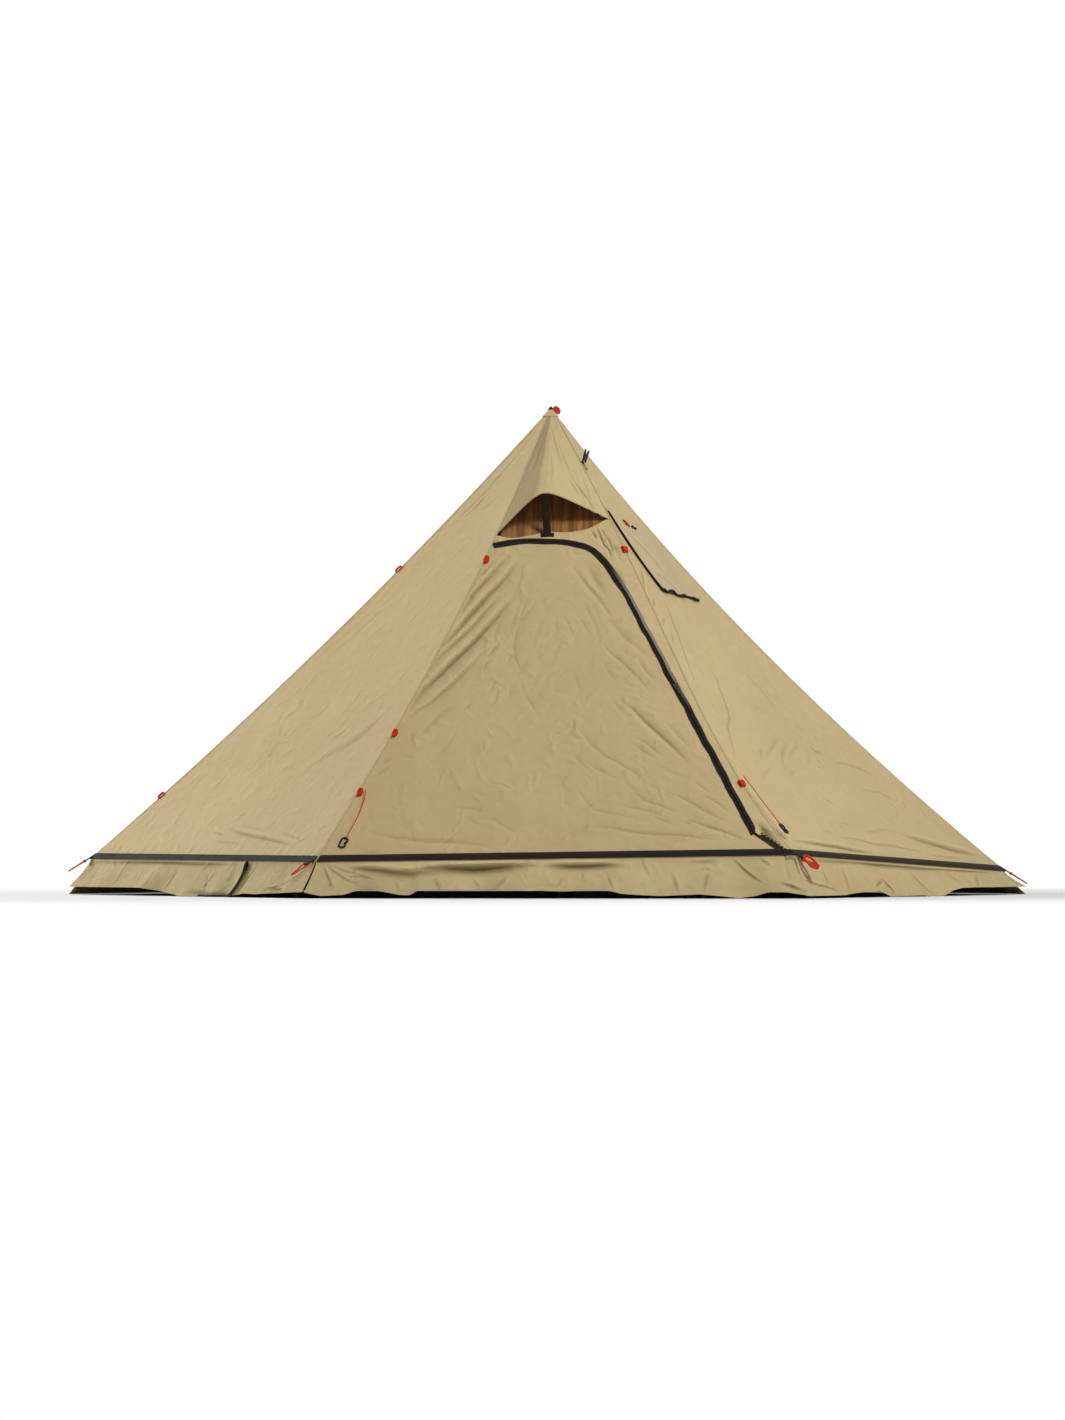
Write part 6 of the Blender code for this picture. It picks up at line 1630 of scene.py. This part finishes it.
def strap_shape(shape, name):
    """A webbing strap folded round the elastic: out from the band, round the eye and back."""
    root, out, level, up = eye_frame(name)
    radius = (EYE_RADIUS + 0.0029) / 2
    turns = np.radians(np.linspace(150, -150, 16))
    path = [root + up * 0.0010 + out * STRAP_LENGTH * share for share in (0.0, 0.35, 0.7)]
    path += [root + out * (STRAP_LENGTH + radius * math.cos(turn)) + up * radius * math.sin(turn) for turn in turns]
    path += [root - up * 0.0010 + out * STRAP_LENGTH * share for share in (0.7, 0.35, 0.0)]
    ribbon(shape, curve_through(path, 46), level, STRAP_WIDTH, 0.0018)


def plain_loop():
    """An elastic's places out of its eye and across it, for the loops that lie open."""
    half, side = STRAP_WIDTH / 2, STRAP_WIDTH / 2 + ELASTIC_RADIUS * 3
    right = (
        (half, 0.0), (side, ELASTIC_RADIUS * 3), (half * 0.8, ELASTIC_LENGTH * 0.45),
        (half * 0.55, ELASTIC_LENGTH * 0.85),
    )
    left = tuple((-x, y) for x, y in right[::-1])
    return [(y, x, 0.0) for x, y in ((-half * 0.6, 0.0), (half * 0.6, 0.0), *right, (0.0, ELASTIC_LENGTH), *left)]


def bundled_loop():
    """The same for the loop that lies doubled over in a thick bundle of three turns."""
    places = []
    for turn in np.linspace(0, 6 * math.pi, 43)[:-1]:
        bulk = 1 + 0.40 * math.sin(turn / 3)
        reach = ELASTIC_LENGTH * 0.5 * (1 - math.cos(turn)) * (0.85 + 0.15 * math.cos(turn / 3))
        rise = 0.0055 * math.cos(turn / 3) + 0.006 * math.sin(turn * 4 / 3)
        places.append((reach, STRAP_WIDTH / 2 * math.sin(turn) * bulk, rise))
    return places


def make_elastics():
    for name in RIDGES:
        bundled = name == "front_right"
        root, out, level, up = eye_frame(name)
        centre = root + out * STRAP_LENGTH
        places = [centre + out * y + level * x + up * z for y, x, z in (bundled_loop() if bundled else plain_loop())]
        route = curve_through(places, 260 if bundled else 90, True)
        Shape().tube(route, ELASTIC_RADIUS * (1.9 if bundled else 1.15), 10, True).piece(
            "corner_elastic_" + name, RED_CORD, "tent", ["corner_loop_" + name], slot="red_webbing")


# Snow skirts

# How far the front skirts' foot is off the ground, in mm, at thousandths across each side
SKIRT_LIFTS = {
    "left_front": (
        0, 40, 117, 41, 178, 70, 202, 70, 305, 46, 399, 20, 493, 1, 587, 1, 690, 1, 775, 18, 822, 15, 869, 19,
        1000, 28,
    ),
    "front": (
        0, 28, 29, 11, 69, 15, 94, 37, 110, 41, 151, 28, 182, 15, 202, 15, 222, 41, 253, 44, 396, 44, 437, 37, 518,
        31, 559, 34, 590, 47, 641, 21, 682, 15, 722, 11, 804, 18, 845, 11, 886, 1, 916, 11, 937, 28, 967, 28, 1000,
        15,
    ),
    "right_front": (
        0, 11, 169, 12, 225, 25, 310, 27, 362, 1, 404, 2, 474, 5, 521, 1, 592, 1, 638, 20, 685, 40, 756, 63, 803,
        66, 1000, 36,
    ),
}
# Creases of the skirts: strength and width as above, then thousandths across the side and down the skirt. The wide,
# strong ones in the upper part paint the shade below the hem band.
SKIRT_FOLDS = {
    "left_front": (
        (8, 12, 125, 20, 140, 280), (14, 16, 30, 90, 350, 70, 690, 90), (8, 14, 420, 300, 400, 950),
        (7, 12, 250, 400, 262, 950), (8, 14, 560, 350, 590, 950), (9, 14, 500, 880, 690, 940),
        (11, 16, 760, 60, 745, 600, 742, 950), (12, 9, 990, 20, 940, 600, 850, 950), (10, 12, 850, 820, 930, 900),
        (7, 12, 330, 300, 345, 900), (6, 10, 60, 300, 70, 900),
    ),
    "front": (
        (13, 34, 70, 240, 170, 380, 270, 430), (16, 44, 210, 250, 330, 330, 450, 220),
        (15, 28, 480, 230, 570, 260, 640, 220), (7, 8, 560, 430, 560, 640), (7, 16, 780, 120, 845, 120),
        (16, 9, 871, 30, 896, 330, 930, 710), (7, 9, 680, 30, 700, 500), (9, 12, 927, 40, 947, 260),
        (14, 14, 960, 740, 1000, 900), (10, 9, 16, 30, 50, 800), (9, 9, 20, 30, 92, 760), (8, 9, 24, 30, 130, 640),
        (10, 8, 39, 520, 45, 800), (10, 9, 70, 430, 120, 600), (7, 14, 250, 600, 262, 950),
        (7, 14, 400, 560, 380, 960), (6, 12, 330, 620, 345, 940), (7, 12, 610, 500, 625, 950),
        (8, 12, 745, 420, 760, 950), (6, 10, 520, 560, 505, 900), (7, 10, 820, 400, 812, 900),
        (6, 12, 170, 560, 180, 950),
    ),
    "right_front": (
        (14, 15, 20, 60, 300, 80, 620, 110, 960, 160), (13, 9, 0, 570, 130, 930), (16, 12, 370, 480, 400, 940),
        (14, 10, 370, 500, 300, 880), (8, 12, 200, 300, 190, 900), (9, 14, 520, 250, 560, 950),
        (8, 12, 680, 300, 700, 900), (8, 14, 830, 300, 800, 950), (7, 12, 110, 200, 80, 800),
    ),
}
PLAIN_SKIRT_FOLDS = (
    (8, 14, 80, 150, 95, 950), (7, 12, 190, 300, 180, 950), (10, 16, 290, 80, 320, 950),
    (7, 12, 410, 350, 400, 950), (9, 14, 520, 150, 500, 950), (7, 12, 620, 300, 640, 950),
    (10, 15, 730, 100, 715, 950), (8, 13, 860, 200, 880, 950),
)


def drape(side, spots, tuck=0.0):
    """Skirt points below one side at places across it: it flares to the ground in uneven folds."""
    width, level = width_of(side), level_out(side)
    spot, down = np.meshgrid(spots, np.linspace(0, 1, 24))
    near = np.minimum(spot, 1 - spot) * width
    calm = smooth(near / SKIRT_CALM)
    flat = np.stack((spot * width, down * SKIRT_DEPTH), -1)
    lines = crease_lines(SKIRT_FOLDS.get(side, PLAIN_SKIRT_FOLDS), lambda line: line * (width, SKIRT_DEPTH))
    rise, mark = folded(flat, lines, 61 + len(side))
    sway = ripple(flat * (1, 0.2), 71 + len(side), 0.17, 0.011)
    flare = SKIRT_FLARE * down ** 1.2
    spread = flare * math.tan(math.pi / 6) * 0.88 * np.maximum(1 - near / SKIRT_CALM, 0)
    lifts = np.reshape(SKIRT_LIFTS.get(side, (0, 1, 1000, 1)), (-1, 2)) / 1000
    lift = np.clip(SKIRT_LIFT_SHARE * np.interp(spot, *lifts.T), *SKIRT_LIFT_LIMITS)
    top = on_side(side, spot, np.ones_like(spot)) - level * CLOTH / 2 - UP * (SEAM_GAP + CLOTH * facing_of(side)[2])
    out = flare + sway * down * calm + rise * smooth(down / 0.12) - tuck * smooth(down / 0.1)
    points = top + level * out[..., None] - UP * ((top[..., 2] - lift) * down)[..., None]
    points = points + np.cross(UP, level) * np.where(spot < 0.5, -spread, spread)[..., None]
    return points, flat, mark * smooth(down / 0.05)


def make_skirt(name, side, start, end, body):
    width, level = width_of(side), level_out(side)
    spots = np.linspace(start, end, max(40, int((end - start) * width / 0.0055)))
    points, flat, mark = drape(side, spots)
    back = np.broadcast_to(level, points.shape)
    along = np.linspace(0, 1, len(spots))[None, :, None]
    down = np.linspace(0, 1, len(points))[:, None, None]
    free = smooth(down / 0.1)
    bound = name == "left_front"
    if bound:
        # Its free end curls over the corner's skirt and is bound in black.
        curl = np.cross(UP, level) * (0.020 * down + 0.064 * down * (1 - down)) + level * 0.007 * free
        points = points + smooth((along - BOUND_SHARE) / 0.20) * curl
    elif name == "front_left_corner":
        points = points - level * (0.008 * free) * smooth(1 - along / 0.25)
    elif name == "right_front":
        # It runs on round the corner, behind the door's skirt.
        beyond, beyond_flat, beyond_mark = drape("front", np.linspace(0.935, 0.9985, 14), 0.010)
        points, mark = np.concatenate((beyond, points), 1), np.concatenate((beyond_mark, mark), 1)
        flat = np.concatenate((beyond_flat - (beyond_flat[0, -1, 0] + 0.005, 0), flat), 1)
        back = np.concatenate((np.broadcast_to(level_out("front"), beyond.shape), back), 1)
    skirt = Shape().sheet(points, points - back * SKIRT_CLOTH, flat, mark)
    if bound:
        inside = points - level * SKIRT_CLOTH / 2
        skirt.tube(inside[:, -1], 0.0045, paint=1)
        foot = even(inside[-1, int(len(spots) * BOUND_SHARE):], 60)
        skirt.tube(foot + UP * 0.0034, 0.0034, paint=1)
    skirt = skirt.piece("snow_skirt_" + name, [TAN_SKIRT, BLACK_WEBBING][:1 + bound], body, [name + "_skirt"],
                        slot="tan_skirt_polyester")


def make_skirts():
    for name, side, start, end, body in (
        ("right_front", "right_front", 0, 1, "tent"),
        ("right_back", "right_back", 0, 1, "tent"),
        ("back", "back", 0, 1, "tent"),
        ("left_back", "left_back", 0, 1, "tent"),
        ("left_front", "left_front", 0, SKIRT_SPLIT_SHARE, "tent"),
        ("front_left_corner", "left_front", SKIRT_SPLIT_SHARE + 0.0025, 1, "tent"),
        ("door", "front", 0, (DOOR_HEM_SHARE + 1) / 2 - 0.002, "door"),
    ):
        edge = 0.004 / width_of(side)
        make_skirt(name, side, max(start, edge), min(end, 1 - edge), body)


def paint_pole():
    """The pole's CAD pieces keep their shape and get a better finish."""
    for name, material in (
        ("pole_lower_section", ALUMINIUM), ("pole_middle_section", ALUMINIUM), ("pole_upper_section", ALUMINIUM),
        ("pole_foot", RUBBER), ("pole_tip", BLACK_PLASTIC),
    ):
        for place in frame["nodes"][name].material_slots:
            place.material = material


# Stitches along the seams


def seam_stitches():
    paths = []
    share = np.linspace(0.03, 0.985, 260)
    for name in RIDGES:
        for side, ends in SIDES.items():
            if name not in ends or side == "front":
                continue
            out = facing_of(side)
            for inset in SEAM_INSETS:
                near = inset / width_at(side, share)
                across = near if ends[0] == name else 1 - near
                paths.append((on_side(side, across, share) + out * 0.00125, out))
    rows_along("seam_stitches", STITCH_ROW, paths, "tent", THREAD, "tan_polyester", Pitch=0.0065)


make_sides()
make_flap()
make_patch()
make_door_and_surround()
make_hood()
make_window()
make_prop()
make_zip()
make_small_pieces()
make_tabs()
make_hem()
make_door_hem()
make_elastics()
make_skirts()
paint_pole()
seam_stitches()

# Floor, light and surroundings

WHITE = (1.0, 1.0, 1.0, 1.0)
FLOOR_SIZE = 80.0
FLOOR_FADE = (1.9, 3.6)
LIGHT_AIM = (0.0, -0.2, 0.7)
LIGHT_DISTANCE = 9.0
# Each light: degrees round from the front, degrees up, size and power
LIGHTS = (
    ("key_light", 40, 45, 2.0, 456.0), ("side_light", -122, 18, 2.4, 500.0), ("top_light", 20, 86, 3.0, 90.0),
)
SKY_LIGHT = 0.17


def seen_by(tree, *rays):
    """1 for the rays that are named, such as the camera's own, and 0 for light that bounces."""
    path = node(tree, "ShaderNodeLightPath").outputs
    seen = path[rays[0]]
    for ray in rays[1:]:
        seen = calc(tree, "MAXIMUM", seen, path[ray])
    return seen


def make_floor():
    """A pale floor that takes the tent's shadow and goes over into the white further out."""
    material, tree, shader = new_material("pale_floor", Base_Color=(0.86, 0.86, 0.86, 1.0), Roughness=0.9)
    glow = node(tree, "ShaderNodeEmission", {"Color": WHITE, "Strength": 1.0})
    reach = node(tree, "ShaderNodeVectorMath", {0: place_of(tree)}, operation="LENGTH").outputs["Value"]
    share = calc(tree, "MULTIPLY", between(tree, reach, *FLOOR_FADE), seen_by(tree, "Is Camera Ray", "Is Glossy Ray"))
    mixed = node(tree, "ShaderNodeMixShader", {0: share, 1: shader.outputs[0], 2: glow.outputs[0]})
    end = next(item for item in tree.nodes if item.type == "OUTPUT_MATERIAL")
    join(tree, end, {"Surface": mixed.outputs[0]})
    mesh = bpy.data.meshes.new("floor")
    half = FLOOR_SIZE / 2
    mesh.from_pydata([(-half, -half, 0), (half, -half, 0), (half, half, 0), (-half, half, 0)], [], [(0, 1, 2, 3)])
    mesh.materials.append(material)
    floor = added("floor", mesh)
    floor.location.z = -0.0006


def make_light(name, turn, height, size, power):
    """A square soft light, placed by its degrees round from the front and up from the ground."""
    turn, height = math.radians(turn), math.radians(height)
    way = Vector((math.sin(turn) * math.cos(height), -math.cos(turn) * math.cos(height), math.sin(height)))
    data = bpy.data.lights.new(name, "AREA")
    data.shape, data.size, data.energy = "SQUARE", size, power
    item = added(name, data)
    item.location = Vector(LIGHT_AIM) + way * LIGHT_DISTANCE
    item.rotation_euler = (-way).to_track_quat("-Z", "Y").to_euler()


def make_surroundings():
    """White where the camera sees it, directly, mirrored or through something, and dim where it only lights."""
    world = bpy.data.worlds.new("studio")
    world.use_nodes = True
    tree = world.node_tree
    tree.nodes.clear()
    seen = seen_by(tree, "Is Camera Ray", "Is Glossy Ray", "Is Transmission Ray")
    strength = calc(tree, "MULTIPLY_ADD", seen, 1 - SKY_LIGHT, SKY_LIGHT)
    back = node(tree, "ShaderNodeBackground", {"Color": WHITE, "Strength": strength})
    node(tree, "ShaderNodeOutputWorld", {"Surface": back.outputs[0]})
    bpy.context.scene.world = world


make_floor()
for light in LIGHTS:
    make_light(*light)
make_surroundings()
bpy.context.scene.view_settings.view_transform = "Standard"
